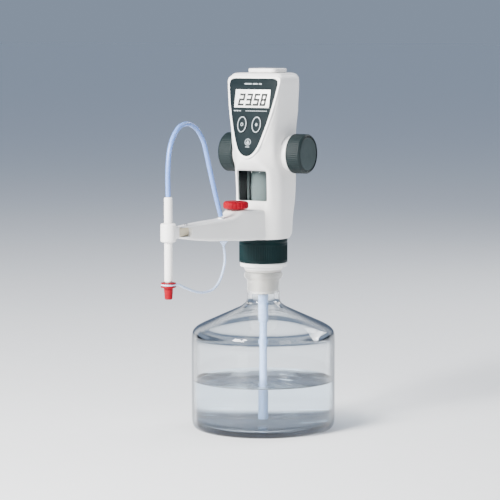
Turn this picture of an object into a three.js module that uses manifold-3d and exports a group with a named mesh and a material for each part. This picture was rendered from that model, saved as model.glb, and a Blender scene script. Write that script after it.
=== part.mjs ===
// A digital bottle-top burette on its glass reservoir bottle.
// Millimetres, +Z up. The origin is the centre of the bottle's base, the display faces -Y,
// and a forward distance "F" in a name or comment is -Y.
import * as THREE from 'three';
import { mergeVertices } from 'three/addons/utils/BufferGeometryUtils.js';
import Module from 'manifold-3d';

const wasm = await Module();
wasm.setup();

// ---- driving dimensions ----
const GAP = 0.3; // between neighbouring pieces

const BOTTLE = { radius: 83.2, corner: 9, wall: 3, base: 6, shoulder: 116, neck: 18.7, neckFrom: 150 };
const RIM = { radius: 22.3, bottom: 176, top: 183 };
const JOINT = { top: 14.6, bottom: 13.0, from: 152 }; // inner radii of the ground neck and where it starts

const ADAPTER = { radius: 20.8, neckRadius: 23.5, flange: 26.8, flangeZ: 189.6, top: 194.3, coneBottom: 158 };
const COLLAR = { inner: 17, outer: 20, top: 205, floor: 3 }; // the collar that the valve block slides over
const RING = { radius: 28, inner: 22.8, bottom: 194.6, top: 221.8, ribs: 36, ribDepth: 0.35 };
const BLOCK = { skirt: 22.3, bore: 20.5, bottom: 194.9, step: 222.3, radius: 24, top: 240.2, roof: 208 };
const INLET = { bore: 2, chamber: 6.3, top: 221 }; // the valve block's own passage and valve chamber
const SUCTION_VALVE = { radius: 6, bottom: 202, top: 220.6, seat: 204.5, cage: 3.4, cageFrom: 206 };
const CHECK_BALL = { radius: 2.9, z: 210.5 };
const SUCTION = { upper: 5.8, upperBore: 4.8, lower: 4.4, lowerBore: 3, slack: 1.2 };
const SUCTION_Z = { bottom: 14, lowerTop: 130, upperBottom: 120, upperTop: 201.7 };

const WALL = 2.4;
const SPLIT_Y = 9.5; // the shells meet on the wheels' axis
const TOP = 412.2;
// Each section of the housing: height, forward reach and half-width of its front face,
// forward reach of the side's front edge, greatest half-width, aft start of the rear curve,
// half-width of the back face, reach of the back, corner rounding.
const HOUSING_SECTIONS = [
	[222.3, 28.5, 12, 12, 28, 15, 14, 28.5, 9],
	[226.3, 28.4, 12.8, 12.4, 28.6, 20, 16, 29.5, 9],
	[245, 27, 17, 14, 29.3, 21, 17, 31, 8],
	[268, 25.4, 21.7, 10, 29.6, 25, 17.5, 34, 5],
	[300, 28, 21.7, 12, 29.2, 27.5, 17.5, 35, 5],
	[308, 34.4, 16, 18, 28.8, 27.5, 17.5, 35, 6],
	[315, 38.6, 11, 21, 28.4, 27.5, 17.5, 35, 6],
	[322, 38.7, 11.5, 23, 28.3, 27.5, 17.5, 35, 5],
	[335, 36, 18.7, 24, 28.5, 27.5, 17.5, 35, 4],
	[352, 32.4, 24.5, 22, 29.8, 27, 18, 35, 4],
	[366, 29.4, 28, 19.5, 31.7, 27, 20.5, 35, 5],
	[380, 26.5, 31.5, 17, 33.2, 25.5, 22, 35, 5],
	[404, 21.4, 34.2, 12, 34.7, 24.5, 24, 35, 6],
	[409.6, 18.8, 32.2, 11, 33, 23.5, 23, 32.8, 7],
	[TOP, 14.5, 27.5, 8, 28.4, 19, 19, 28, 7],
];
const TOP_COVER = { x: 18.3, front: -7, back: 26.5, top: 417.3, corner: 5 };

// The display face is a plane tilted back; s runs down it from its top edge.
const FACE = { forward: 21, z: 406, slope: 0.2107, bezel: 3.3, recess: 1.5, plate: 1.2, rim: 4, depth: 6 };
const FASCIA = { half: 31.4, corner: 7.5, side: 74, sideHalf: 15.1, bend: [26.5, 41], length: 89.6 };
const LCD = { width: 46.2, height: 21.5, s: 23.1, below: 0.4, depth: 7.4 };
const KEY = { x: 9.5, s: 53.2, halfWidth: 6.7, halfHeight: 10, proud: 0.8, depth: 3.8 };
const KEY_SWITCH = { half: 3, below: 1.2 };
const BOARD = { depth: 8, thick: 1.6, half: 23, top: 9, bottom: 66 };

const WINDOW = { half: 19.2, bottom: 266.4, top: 300.8, pane: 1.5, paneF: 24.2 };
const BARREL = { inner: 12, outer: 14, bottom: 240.5, top: 306 };
const PISTON = { radius: 11.6, bottom: 241, top: 249.5 };

const AXLE = { y: 9.5, z: 320, radius: 3, reach: 52 };
const WHEEL = { radius: 22.7, inner: 35.6, outer: 54.2, rim: 2.6, recess: 1.6, cap: 1.1 };
const BOSS = { radius: 20.5, from: 22, reach: 35.3, wall: 2.5 };
const GEAR = { teeth: 12, module: 1.25, addendum: 0.9, dedendum: 1.1, width: 3, tooth: 0.75, flank: 0.466 };
const RACK = { bottom: 258, top: 330, half: 3, back: -4.2, foot: 3.2 };
const FRAME = {
	legX: 15.1, legThick: 2.8, legHalf: 6, deck: 306.4, deckThick: 2.8, deckY: [-8, 18], cheekX: 8, cheekTop: 329,
	backY: 15.2, backThick: 2, slotHalf: 3.6, slotY: [-4.8, 3.6],
};

const BATTERY = { radius: 5.25, x: 5.8, y: 24, bottom: 348, top: 392.5 };
const CONTACT = { half: 11, depth: 4, thick: 0.8 };
const DOOR = { half: 15, bottom: 345, top: 397, thick: 2.2, back: 34.8 };
const SCREWS = [[24.2, 256], [24.6, 352]];
const SCREW = { head: 2.5, shank: 1.4, headY: 20, headThick: 2, tip: -4, boss: 4.2 };

// Sections of the arm: forward reach, underside, top, half-width.
const ARM_SECTIONS = [
	[20, 222.7, 257.3, 17.5],
	[34, 222.9, 257.6, 16],
	[50, 223.4, 258.8, 14.6],
	[66, 224.3, 259.0, 12.9],
	[78, 225.3, 254.2, 11.6],
	[92, 226.4, 251.2, 10.8],
	[126, 228.6, 250.6, 9.8],
	[160, 232.6, 249.8, 8.4],
	[177, 235.3, 249.0, 7.4],
	[184, 237.2, 248.2, 5.6],
];
const ARM_CAVITY = { half: 7.5, from: 20, bottom: 229, top: 247 };
const KNOB = { forward: 62, radius: 14.3, bottom: 260, top: 268.6 };
const SPINDLE = { radius: 3, bottom: 247.3 };
const PURGE_VALVE = { radius: 6.5, bottom: 229.6, top: 246.7 };
const DISCHARGE = { valve: 5, valveTo: 54, valveZ: 236, tube: 2.2, tubeFrom: 69, tubeTo: 88, tubeZ: 240 };
const SOCKET = { radius: 3.1, bottom: 246, top: 252.3 };
const ARM_SCREW = { forward: 169, radius: 2, bottom: 248.5, top: 251 };
const TIP_WINDOW = 166; // the arm's sides are open from here forward, where the rod shows
const ROD = { z: 243, height: 10, width: 7, from: 100, to: 187.7 };
const TUBE = { forward: 204.5, radius: 4.5, bore: 2.8, bottom: 190.1, top: 282.3 };
const NOZZLE = { bore: 1, radius: 2.4, bottom: 175, top: 198 };
const CLAMP = { radius: 8.5, bore: 5, bottom: 233.9, top: 254.2 };
const CLAMP_BOSS = { from: 188, to: 198, half: 4.4, bottom: 236.6, top: 249.4 }; // it grips the rod
const CAP = { flange: 8.3, groove: 6, top: 189.8, neck: 5.3, tip: 4.2, bottom: 171.6, bore: 2.9, floor: 174 };
const TETHER_RING = { radius: 8, bottom: 186.5, top: 188.3 };
const HOOK = { forward: 89, radius: 4.6, neck: 1.8, bottom: 219.3, waist: 221.8, top: 225.6 };
const HOSE_RADIUS = 2.5;
const TETHER_RADIUS = 1.4;
// Routes as [forward, height] in the plane X = 0.
const HOSE_ROUTE = [
	[94.9, 254.2], [99.2, 263.1], [108.4, 283.5], [117.8, 306.2], [125.4, 325.3], [131.7, 338.9], [142.4, 350.5],
	[152, 356.4], [164.6, 359.6], [178.3, 358.0], [188, 352.3], [197.3, 341.7], [202.6, 328.2], [204.9, 310.9],
	[205.1, 298.2], [204.5, 282.6],
];
const TETHER_ROUTE = [
	[88.9, 218.8], [87.1, 212.2], [86.2, 204.9], [88.6, 195.9], [95.6, 184.1], [105.2, 176.3], [117.3, 172.5],
	[135.5, 172.3], [153.6, 175.6], [171.3, 181.2], [184.2, 185.6], [196.0, 187.4],
];

// ---- materials ----
function finish(colour, roughness, metalness = 0) {
	return () => new THREE.MeshStandardMaterial({ color: colour, roughness, metalness });
}
const WHITE = finish(0xe6e4df, 0.42);
const SLATE = finish(0x3e484c, 0.45);
const WHEEL_GREEN = finish(0x3c4a4c, 0.5);
const RING_GREEN = finish(0x12302f, 0.5);
const RED = finish(0xc4121f, 0.35);
const BEIGE = finish(0xcac4ac, 0.5);
const NATURAL = finish(0xdfe6ee, 0.4);
const GLASS = finish(0xcfdde2, 0.05);
const CLEAR = finish(0xb9c6c8, 0.08);
const STEEL = finish(0xb9bcbf, 0.3, 1);
const BLACK = finish(0x16191a, 0.5);
const BOARD_GREEN = finish(0x1d5a35, 0.6);
const SCREEN = finish(0xd8ddd2, 0.25);
const BRASS = finish(0xc0a050, 0.35, 1);

// ---- geometry helpers ----
function signedVolume(geometry) {
	const at = geometry.attributes.position;
	const index = geometry.index;
	const [a, b, c] = [new THREE.Vector3(), new THREE.Vector3(), new THREE.Vector3()];
	let sum = 0;
	for (let i = 0; i < index.count; i += 3) {
		a.fromBufferAttribute(at, index.getX(i));
		b.fromBufferAttribute(at, index.getX(i + 1));
		c.fromBufferAttribute(at, index.getX(i + 2));
		sum += a.dot(b.cross(c)) / 6;
	}
	return sum;
}

// Merges shared vertices, drops triangles with no area and turns the faces outward.
function closed(geometry) {
	const bare = geometry.clone();
	bare.deleteAttribute('normal');
	bare.deleteAttribute('uv');
	const merged = mergeVertices(bare, 1e-4);
	const kept = [];
	for (let i = 0; i < merged.index.count; i += 3) {
		const [a, b, c] = [0, 1, 2].map((k) => merged.index.getX(i + k));
		if (a !== b && b !== c && c !== a) kept.push(a, b, c);
	}
	merged.setIndex(kept);
	if (signedVolume(merged) < 0) {
		for (let i = 0; i < kept.length; i += 3) [kept[i], kept[i + 1]] = [kept[i + 1], kept[i]];
		merged.setIndex(kept);
	}
	return merged;
}

function solid(geometry) {
	const shut = closed(geometry);
	const mesh = new wasm.Mesh({
		numProp: 3,
		vertProperties: new Float32Array(shut.attributes.position.array),
		triVerts: new Uint32Array(shut.index.array),
	});
	return new wasm.Manifold(mesh);
}

function geometryOf(manifold) {
	const mesh = manifold.getMesh();
	const geometry = new THREE.BufferGeometry();
	geometry.setAttribute('position', new THREE.BufferAttribute(new Float32Array(mesh.vertProperties), 3));
	geometry.setIndex([...mesh.triVerts]);
	return geometry;
}

function box(x0, x1, y0, y1, z0, z1) {
	const geometry = new THREE.BoxGeometry(x1 - x0, y1 - y0, z1 - z0);
	return geometry.translate((x0 + x1) / 2, (y0 + y1) / 2, (z0 + z1) / 2);
}

// A turned solid about Z from a profile of [radius, height].
function turned(profile, sides = 32) {
	const points = profile.map(([r, z]) => new THREE.Vector2(r, z));
	return new THREE.LatheGeometry(points, sides).rotateX(Math.PI / 2);
}

function rod(radius, from, to, sides = 24) {
	return turned([[0, from], [radius, from], [radius, to], [0, to]], sides);
}

function pipe(inner, outer, from, to, sides = 32) {
	return turned([[inner, from], [outer, from], [outer, to], [inner, to], [inner, from]], sides);
}

// Turns a solid made about Z so that its axis lies along X or along Y.
function alongX(geometry, y, z) {
	return geometry.rotateY(Math.PI / 2).translate(0, y, z);
}

function alongY(geometry, x, z) {
	return geometry.rotateX(-Math.PI / 2).translate(x, 0, z);
}

// A closed solid through rings of equal count, each an array of Vector3, capped by fans.
function loft(rings) {
	const count = rings[0].length;
	const points = rings.flat();
	const index = [];
	for (let r = 0; r + 1 < rings.length; r++) {
		for (let i = 0; i < count; i++) {
			const a = r * count + i;
			const b = r * count + ((i + 1) % count);
			index.push(a, b, b + count, a, b + count, a + count);
		}
	}
	[0, rings.length - 1].forEach((r) => {
		const centre = points.length;
		const middle = new THREE.Vector3();
		rings[r].forEach((p) => middle.add(p));
		points.push(middle.divideScalar(count));
		for (let i = 0; i < count; i++) {
			const a = r * count + i;
			const b = r * count + ((i + 1) % count);
			index.push(...(r === 0 ? [centre, b, a] : [centre, a, b]));
		}
	});
	const geometry = new THREE.BufferGeometry().setFromPoints(points);
	geometry.setIndex(index);
	return geometry;
}

// The corners of a polygon rounded by a quadratic curve that starts "radius" before each corner.
function rounded(corners, radius, steps = 2) {
	const toward = (from, to) => {
		const length = Math.hypot(to[0] - from[0], to[1] - from[1]);
		const share = Math.min(radius, length * 0.45) / length;
		return [from[0] + (to[0] - from[0]) * share, from[1] + (to[1] - from[1]) * share];
	};
	return corners.flatMap((corner, i) => {
		const start = toward(corner, corners[(i + corners.length - 1) % corners.length]);
		const end = toward(corner, corners[(i + 1) % corners.length]);
		return Array.from({ length: steps + 1 }, (_, k) => {
			const t = k / steps;
			return [0, 1].map((n) => start[n] * (1 - t) ** 2 + corner[n] * 2 * t * (1 - t) + end[n] * t * t);
		});
	});
}

function prism(outline, depth) {
	const shape = new THREE.Shape(outline.map(([x, y]) => new THREE.Vector2(x, y)));
	return new THREE.ExtrudeGeometry(shape, { depth, bevelEnabled: false });
}

// A hose along a route in the plane X = 0.
function hose(route, radius, sides, steps) {
	const path = new THREE.CatmullRomCurve3(route.map(([f, z]) => new THREE.Vector3(0, -f, z)));
	const outline = Array.from({ length: sides }, (_, i) => {
		const angle = (i / sides) * 2 * Math.PI;
		return new THREE.Vector2(radius * Math.cos(angle), radius * Math.sin(angle));
	});
	return new THREE.ExtrudeGeometry(new THREE.Shape(outline), { steps, extrudePath: path, bevelEnabled: false });
}

// ---- the display face's own frame: x across, y up the plane, z out of it ----
const faceAngle = Math.atan(FACE.slope);
const faceMatrix = new THREE.Matrix4().makeBasis(
	new THREE.Vector3(1, 0, 0),
	new THREE.Vector3(0, Math.sin(faceAngle), Math.cos(faceAngle)),
	new THREE.Vector3(0, -Math.cos(faceAngle), Math.sin(faceAngle)),
).setPosition(0, -FACE.forward, FACE.z);

function onFace(geometry) {
	return geometry.applyMatrix4(faceMatrix);
}

// The shield outline of the fascia, grown by "grow" all round, as [x, y up the face].
function fasciaOutline(grow, steps = 6) {
	const half = FASCIA.half + grow;
	const corner = FASCIA.corner;
	const tip = -FASCIA.length - grow;
	const sideHalf = FASCIA.sideHalf + grow * 0.95;
	const sideEnd = -FASCIA.side - grow * 0.3;
	const path = new THREE.Path();
	path.moveTo(0, grow);
	path.lineTo(half - corner, grow);
	path.quadraticCurveTo(half + 0.8, grow, half, grow - corner);
	path.quadraticCurveTo(FASCIA.bend[0] + grow, -FASCIA.bend[1], sideHalf, sideEnd);
	path.quadraticCurveTo(sideHalf * 0.62, tip, 0, tip);
	const right = path.getPoints(steps).map((p) => [p.x, p.y]);
	const left = right.slice(1, -1).reverse().map(([x, y]) => [-x, y]);
	return [...right, ...left];
}

// ---- housing ----
function housingRing([z, front, frontHalf, sideFront, half, sideBack, backHalf, back, corner], inset) {
	const outline = [
		[frontHalf - inset * 0.6, -front + inset],
		[half - inset, -sideFront],
		[half - inset, sideBack],
		[backHalf - inset * 0.4, back - inset],
	];
	const mirrored = [...outline].reverse().map(([x, y]) => [-x, y]);
	return rounded([...outline, ...mirrored], corner).map(([x, y]) => new THREE.Vector3(x, y, z));
}

function housingLoft(inset) {
	const last = HOUSING_SECTIONS.length - 1;
	const rings = HOUSING_SECTIONS.map(([z, ...rest], i) => {
		const below = i === 0 && inset !== 0 ? 1 : 0;
		const above = i === last ? inset : 0;
		return housingRing([z - below - above, ...rest], inset);
	});
	return loft(rings);
}

function housingBody() {
	let body = solid(housingLoft(0));
	const face = prism(fasciaOutline(FACE.bezel), FACE.depth).translate(0, 0, -FACE.depth);
	body = body.add(solid(onFace(face)));
	[-1, 1].forEach((side) => {
		const ends = [side * BOSS.from, side * BOSS.reach].sort((a, b) => a - b);
		body = body.add(solid(alongX(rod(BOSS.radius, ...ends, 40), AXLE.y, AXLE.z)));
	});
	body = body.subtract(solid(housingLoft(WALL)));
	return body;
}

function housingCuts() {
	const cuts = [];
	const reach = BOSS.reach - BOSS.wall;
	cuts.push(alongX(rod(BOSS.radius - BOSS.wall, -reach, reach, 32), AXLE.y, AXLE.z));
	cuts.push(alongX(rod(AXLE.radius + 1, -60, 60, 20), AXLE.y, AXLE.z));
	cuts.push(onFace(prism(fasciaOutline(GAP), FACE.recess + 5).translate(0, 0, -FACE.recess)));
	cuts.push(onFace(prism(fasciaOutline(-FACE.rim), FACE.depth + 8).translate(0, 0, -FACE.depth - 4)));
	cuts.push(box(-WINDOW.half, WINDOW.half, -40, -16, WINDOW.bottom, WINDOW.top));
	cuts.push(alongY(rod(DISCHARGE.valve + 1, 16, 40, 20).rotateX(Math.PI), 0, DISCHARGE.valveZ));
	const doorRoom = [DOOR.bottom - GAP, DOOR.top + GAP];
	cuts.push(box(-DOOR.half - GAP, DOOR.half + GAP, DOOR.back - DOOR.thick - 2, 40, ...doorRoom));
	return cuts.map(solid).reduce((all, cut) => all.add(cut));
}

function screwBosses() {
	const bosses = SCREWS.flatMap(([x, z]) => [-x, x].map((at) => alongY(rod(SCREW.boss, -10, 40, 16), at, z)));
	return bosses.map(solid).reduce((all, boss) => all.add(boss));
}

function screwHoles() {
	const holes = SCREWS.flatMap(([x, z]) => [-x, x].flatMap((at) => [
		alongY(rod(SCREW.shank + GAP, SCREW.tip - 2, 40, 12), at, z),
		alongY(rod(SCREW.head + GAP, SCREW.headY - GAP, 40, 16), at, z),
	]));
	return holes.map(solid).reduce((all, hole) => all.add(hole));
}

function housingShells() {
	const outside = solid(housingLoft(0));
	const uncut = housingBody().add(screwBosses().intersect(outside));
	const whole = uncut.subtract(housingCuts()).subtract(screwHoles());
	const front = solid(box(-90, 90, -90, SPLIT_Y - GAP / 2, 200, 440));
	const back = solid(box(-90, 90, SPLIT_Y + GAP / 2, 90, 200, 440));
	return [whole.intersect(front), whole.intersect(back)].map(geometryOf);
}

function topCover() {
	const level = (z, inset) => {
		const x = TOP_COVER.x - inset;
		const corners = [[x, TOP_COVER.front + inset], [x, TOP_COVER.back - inset]];
		const all = [...corners, ...[...corners].reverse().map(([a, b]) => [-a, b])];
		return rounded(all, TOP_COVER.corner).map(([a, b]) => new THREE.Vector3(a, b, z));
	};
	return loft([level(TOP + GAP, 0), level(TOP_COVER.top - 1, 0), level(TOP_COVER.top, 1)]);
}

// ---- display face ----
function ellipse(halfWidth, halfHeight, x, y, sides = 24) {
	return Array.from({ length: sides }, (_, i) => {
		const angle = (i / sides) * 2 * Math.PI;
		return [x + halfWidth * Math.cos(angle), y + halfHeight * Math.sin(angle)];
	});
}

function rectangle(width, height, y) {
	const [w, h] = [width / 2, height / 2];
	return [[-w, y - h], [w, y - h], [w, y + h], [-w, y + h]];
}

function fascia() {
	const floor = FACE.recess - GAP;
	let plate = solid(prism(fasciaOutline(0), FACE.plate).translate(0, 0, -floor));
	plate = plate.subtract(solid(prism(rectangle(LCD.width, LCD.height, -LCD.s), 10).translate(0, 0, -5)));
	[-KEY.x, KEY.x].forEach((x) => {
		const hole = prism(ellipse(KEY.halfWidth, KEY.halfHeight, x, -KEY.s), 10).translate(0, 0, -5);
		plate = plate.subtract(solid(hole));
	});
	return onFace(geometryOf(plate));
}

function lcd() {
	const glass = rectangle(LCD.width - 2 * GAP, LCD.height - 2 * GAP, -LCD.s);
	return onFace(prism(glass, LCD.depth).translate(0, 0, -LCD.below - LCD.depth));
}

function key(x) {
	const outline = ellipse(KEY.halfWidth - GAP, KEY.halfHeight - GAP, x, -KEY.s);
	return onFace(prism(outline, KEY.proud + KEY.depth).translate(0, 0, -KEY.depth));
}

function keySwitch(x) {
	const half = KEY_SWITCH.half;
	const top = -KEY.depth - KEY_SWITCH.below;
	return onFace(box(x - half, x + half, -KEY.s - half, -KEY.s + half, -BOARD.depth + GAP, top));
}

function circuitBoard() {
	const bottom = [-BOARD.half * 0.66, BOARD.half * 0.66];
	const outline = [
		[bottom[0], -BOARD.bottom], [bottom[1], -BOARD.bottom], [BOARD.half, -BOARD.top - 25],
		[BOARD.half, -BOARD.top], [-BOARD.half, -BOARD.top], [-BOARD.half, -BOARD.top - 25],
	];
	return onFace(prism(outline, BOARD.thick).translate(0, 0, -BOARD.depth - BOARD.thick));
}

// ---- metering drive ----
const pitchRadius = (GEAR.teeth * GEAR.module) / 2;
const pitch = Math.PI * GEAR.module;
const pitchY = AXLE.y - pitchRadius;

function pinion() {
	const outline = [];
	for (let i = 0; i < GEAR.teeth; i++) {
		const middle = Math.PI + (i / GEAR.teeth) * 2 * Math.PI;
		const root = (GEAR.tooth + GEAR.dedendum * GEAR.flank) / (pitchRadius - GEAR.dedendum);
		const tip = (GEAR.tooth - GEAR.addendum * GEAR.flank) / (pitchRadius + GEAR.addendum);
		[[-root, -GEAR.dedendum], [-tip, GEAR.addendum], [tip, GEAR.addendum], [root, -GEAR.dedendum]]
			.forEach(([turn, rise]) => {
				const radius = pitchRadius + rise;
				outline.push([radius * Math.cos(middle + turn), radius * Math.sin(middle + turn)]);
			});
	}
	const blank = solid(prism(outline, GEAR.width * 2).translate(0, 0, -GEAR.width));
	const bored = blank.subtract(solid(rod(AXLE.radius + GAP, -10, 10, 20)));
	const toRow = new THREE.Matrix4().makeBasis(
		new THREE.Vector3(0, 1, 0), new THREE.Vector3(0, 0, 1), new THREE.Vector3(1, 0, 0),
	).setPosition(0, AXLE.y, AXLE.z);
	return geometryOf(bored).applyMatrix4(toRow);
}

function pistonRod() {
	const outline = [[RACK.back, RACK.bottom], [RACK.back, RACK.top]];
	const rootY = pitchY - GEAR.dedendum;
	const tipY = pitchY + GEAR.addendum;
	const rootHalf = GEAR.tooth + GEAR.dedendum * GEAR.flank;
	const tipHalf = GEAR.tooth - GEAR.addendum * GEAR.flank;
	outline.push([rootY, RACK.top]);
	const above = Math.floor((RACK.top - AXLE.z) / pitch - 0.5 - rootHalf / pitch);
	const below = Math.ceil((RACK.bottom - AXLE.z) / pitch - 0.5 + rootHalf / pitch);
	for (let n = above; n >= below; n--) {
		const z = AXLE.z + (n + 0.5) * pitch;
		outline.push([rootY, z + rootHalf], [tipY, z + tipHalf], [tipY, z - tipHalf], [rootY, z - rootHalf]);
	}
	outline.push([rootY, RACK.bottom]);
	const toRow = new THREE.Matrix4().makeBasis(
		new THREE.Vector3(0, 1, 0), new THREE.Vector3(0, 0, 1), new THREE.Vector3(1, 0, 0),
	);
	const rack = prism(outline, RACK.half * 2).translate(0, 0, -RACK.half).applyMatrix4(toRow);
	const foot = rod(RACK.foot, PISTON.top + GAP, RACK.bottom + 1, 20);
	return geometryOf(solid(rack).add(solid(foot)));
}

function driveFrame() {
	const legEnd = FRAME.legX + FRAME.legThick;
	const deckTop = FRAME.deck + FRAME.deckThick;
	let body = solid(box(-legEnd, legEnd, ...FRAME.deckY, FRAME.deck, deckTop));
	const plateY = [FRAME.backY, FRAME.backY + FRAME.backThick];
	const plate = box(-legEnd, legEnd, ...plateY, BLOCK.top + GAP, FRAME.deck + 1);
	body = body.add(solid(plate));
	[-1, 1].forEach((side) => {
		const [near, far] = [side * FRAME.legX, side * legEnd].sort((a, b) => a - b);
		body = body.add(solid(box(near, far, -FRAME.legHalf, FRAME.legHalf, BLOCK.top + GAP, FRAME.deck + 1)));
		const [a, b] = [side * FRAME.cheekX, side * (FRAME.cheekX + FRAME.legThick)].sort((p, q) => p - q);
		body = body.add(solid(box(a, b, 1, FRAME.deckY[1], deckTop - 1, FRAME.cheekTop)));
	});
	const slot = box(-FRAME.slotHalf, FRAME.slotHalf, ...FRAME.slotY, FRAME.deck - 1, deckTop + 1);
	body = body.subtract(solid(slot));
	body = body.subtract(solid(alongX(rod(AXLE.radius + GAP, -15, 15, 20), AXLE.y, AXLE.z)));
	return geometryOf(body);
}

function wheel(side) {
	const rim = WHEEL.radius - WHEEL.rim;
	const bore = AXLE.radius + GAP;
	const floor = WHEEL.outer - WHEEL.recess;
	const geometry = turned([
		[bore, WHEEL.inner], [WHEEL.radius - 0.8, WHEEL.inner], [WHEEL.radius, WHEEL.inner + 0.8],
		[WHEEL.radius, WHEEL.outer - 1.5], [WHEEL.radius - 1.5, WHEEL.outer], [rim, WHEEL.outer],
		[rim, floor], [bore, floor], [bore, WHEEL.inner],
	], 28);
	return alongX(side < 0 ? geometry.rotateX(Math.PI) : geometry, AXLE.y, AXLE.z);
}

function wheelCap(side) {
	const floor = WHEEL.outer - WHEEL.recess + GAP;
	const geometry = rod(WHEEL.radius - WHEEL.rim - GAP, floor, floor + WHEEL.cap, 28);
	return alongX(side < 0 ? geometry.rotateX(Math.PI) : geometry, AXLE.y, AXLE.z);
}

// ---- arm ----
function armRing([forward, low, high, half], grow = 0) {
	const corners = [
		[half + grow, low - grow], [half + grow, high + grow],
		[-half - grow, high + grow], [-half - grow, low - grow],
	];
	return rounded(corners, Math.min(half, 6)).map(([x, z]) => new THREE.Vector3(x, -forward, z));
}

function arm() {
	let body = solid(loft(ARM_SECTIONS.map((section) => armRing(section))));
	body = body.subtract(solid(housingLoft(-GAP)));
	const { half, from, bottom, top } = ARM_CAVITY;
	const cavity = box(-half, half, -ROD.from + 2, -from, bottom, top);
	const [rodHalf, rodSide] = [ROD.height / 2 + GAP, ROD.width / 2 + GAP];
	const channel = box(-rodSide, rodSide, -200, -ROD.from + 3, ROD.z - rodHalf, ROD.z + rodHalf);
	const sideWindow = box(-20, 20, -200, -TIP_WINDOW, ROD.z - rodHalf, ROD.z + rodHalf - 0.6);
	const hole = (radius, forward, low) => rod(radius + GAP, low, 265, 16).translate(0, -forward, 0);
	const spindleHole = hole(SPINDLE.radius, KNOB.forward, 240);
	const socketHole = hole(SOCKET.radius, HOSE_ROUTE[0][0], 240);
	const screwHole = hole(ARM_SCREW.radius, ARM_SCREW.forward, 246.5);
	[cavity, channel, sideWindow, spindleHole, socketHole, screwHole].forEach((cut) => {
		body = body.subtract(solid(cut));
	});
	return geometryOf(body);
}

function knob() {
	const { forward, radius, bottom, top } = KNOB;
	const side = [[radius - 1, bottom], [radius, bottom + 1.2], [radius, top - 1.6], [radius - 1.6, top]];
	return turned([[0, bottom], ...side, [0, top]], 28).translate(0, -forward, 0);
}

function socket() {
	return rod(SOCKET.radius, SOCKET.bottom, SOCKET.top, 12).translate(0, -HOSE_ROUTE[0][0], 0);
}

function clamp() {
	const barrel = solid(rod(CLAMP.radius, CLAMP.bottom, CLAMP.top, 28).translate(0, -TUBE.forward, 0));
	const bore = solid(rod(CLAMP.bore, CLAMP.bottom - 1, CLAMP.top + 1, 28).translate(0, -TUBE.forward, 0));
	const { from, to, half, bottom, top } = CLAMP_BOSS;
	const boss = box(-half, half, -to, -from, bottom, top);
	return geometryOf(barrel.add(solid(boss)).subtract(bore));
}

function tipCap() {
	const { flange, groove, top, neck, tip, bottom, bore, floor } = CAP;
	return turned([
		[0, bottom], [tip - 0.8, bottom], [tip, bottom + 1], [neck, top - 5.2], [flange, top - 5.2],
		[flange, top - 3.6], [groove, top - 3.6], [groove, top - 1.2], [flange, top - 1.2], [flange, top],
		[bore, top], [bore, floor], [0, floor],
	], 20).translate(0, -TUBE.forward, 0);
}

// ---- bottle and joint ----
function arc(centreR, centreZ, radius, from, to, steps) {
	return Array.from({ length: steps + 1 }, (_, i) => {
		const angle = THREE.MathUtils.degToRad(from + ((to - from) * i) / steps);
		return [centreR + radius * Math.cos(angle), centreZ + radius * Math.sin(angle)];
	});
}

function bottle() {
	const { radius, corner, wall, base, shoulder, neck, neckFrom } = BOTTLE;
	const outer = [
		[0, 0], ...arc(radius - corner, corner, corner, -90, 0, 4), [radius, shoulder - 6],
		...arc(radius - 12, shoulder - 4, 12, 10, 64, 3), [neck + 8, neckFrom - 7], [neck + 1.4, neckFrom - 1.5],
		[neck, neckFrom + 4], [neck, RIM.bottom - 3], [RIM.radius - 1, RIM.bottom], [RIM.radius, RIM.bottom + 2],
		[RIM.radius, RIM.top - 2], [RIM.radius - 1.5, RIM.top],
	];
	const inner = [
		[JOINT.top, RIM.top], [JOINT.bottom, JOINT.from], [neck + 2, neckFrom - 8],
		...arc(radius - 15, shoulder - 7, 12, 64, 10, 3), [radius - wall, shoulder - 10],
		...arc(radius - wall - corner, base + corner, corner, 0, -90, 3), [0, base],
	];
	return turned([...outer, ...inner], 36);
}

function adapter() {
	const { radius, neckRadius, flange, flangeZ, top, coneBottom } = ADAPTER;
	const taper = (JOINT.top - JOINT.bottom) / (RIM.top - JOINT.from);
	const coneRadius = JOINT.bottom + taper * (coneBottom - JOINT.from) - GAP;
	const bore = SUCTION.upper + SUCTION.slack;
	return turned([
		[bore, coneBottom], [coneRadius, coneBottom], [JOINT.top - GAP, RIM.top], [JOINT.top - GAP, RIM.top + GAP],
		[radius, RIM.top + GAP], [neckRadius, flangeZ - 1], [neckRadius, flangeZ], [flange, flangeZ], [flange, top],
		[COLLAR.outer, top], [COLLAR.outer, COLLAR.top], [COLLAR.inner, COLLAR.top],
		[COLLAR.inner, top - COLLAR.floor], [bore, top - COLLAR.floor], [bore, coneBottom],
	], 28);
}

function ring() {
	const outline = Array.from({ length: RING.ribs * 2 }, (_, i) => {
		const angle = (i / (RING.ribs * 2)) * 2 * Math.PI;
		const radius = RING.radius - (i % 2) * RING.ribDepth;
		return [radius * Math.cos(angle), radius * Math.sin(angle)];
	});
	const blank = solid(prism(outline, RING.top - RING.bottom).translate(0, 0, RING.bottom));
	return geometryOf(blank.subtract(solid(rod(RING.inner, 180, 230, 36))));
}

function valveBlock() {
	const { skirt, bore, bottom, step, radius, top, roof } = BLOCK;
	return turned([
		[bore, bottom], [skirt, bottom], [skirt, step], [radius, step], [radius, top], [INLET.bore, top],
		[INLET.bore, INLET.top], [INLET.chamber, INLET.top], [INLET.chamber, roof], [bore, roof], [bore, bottom],
	], 28);
}

function suctionValve() {
	const { radius, bottom, top, seat, cage, cageFrom } = SUCTION_VALVE;
	return turned([
		[INLET.bore, bottom], [radius, bottom], [radius, top], [cage, top], [cage, cageFrom], [INLET.bore, seat],
		[INLET.bore, bottom],
	], 20);
}

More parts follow.
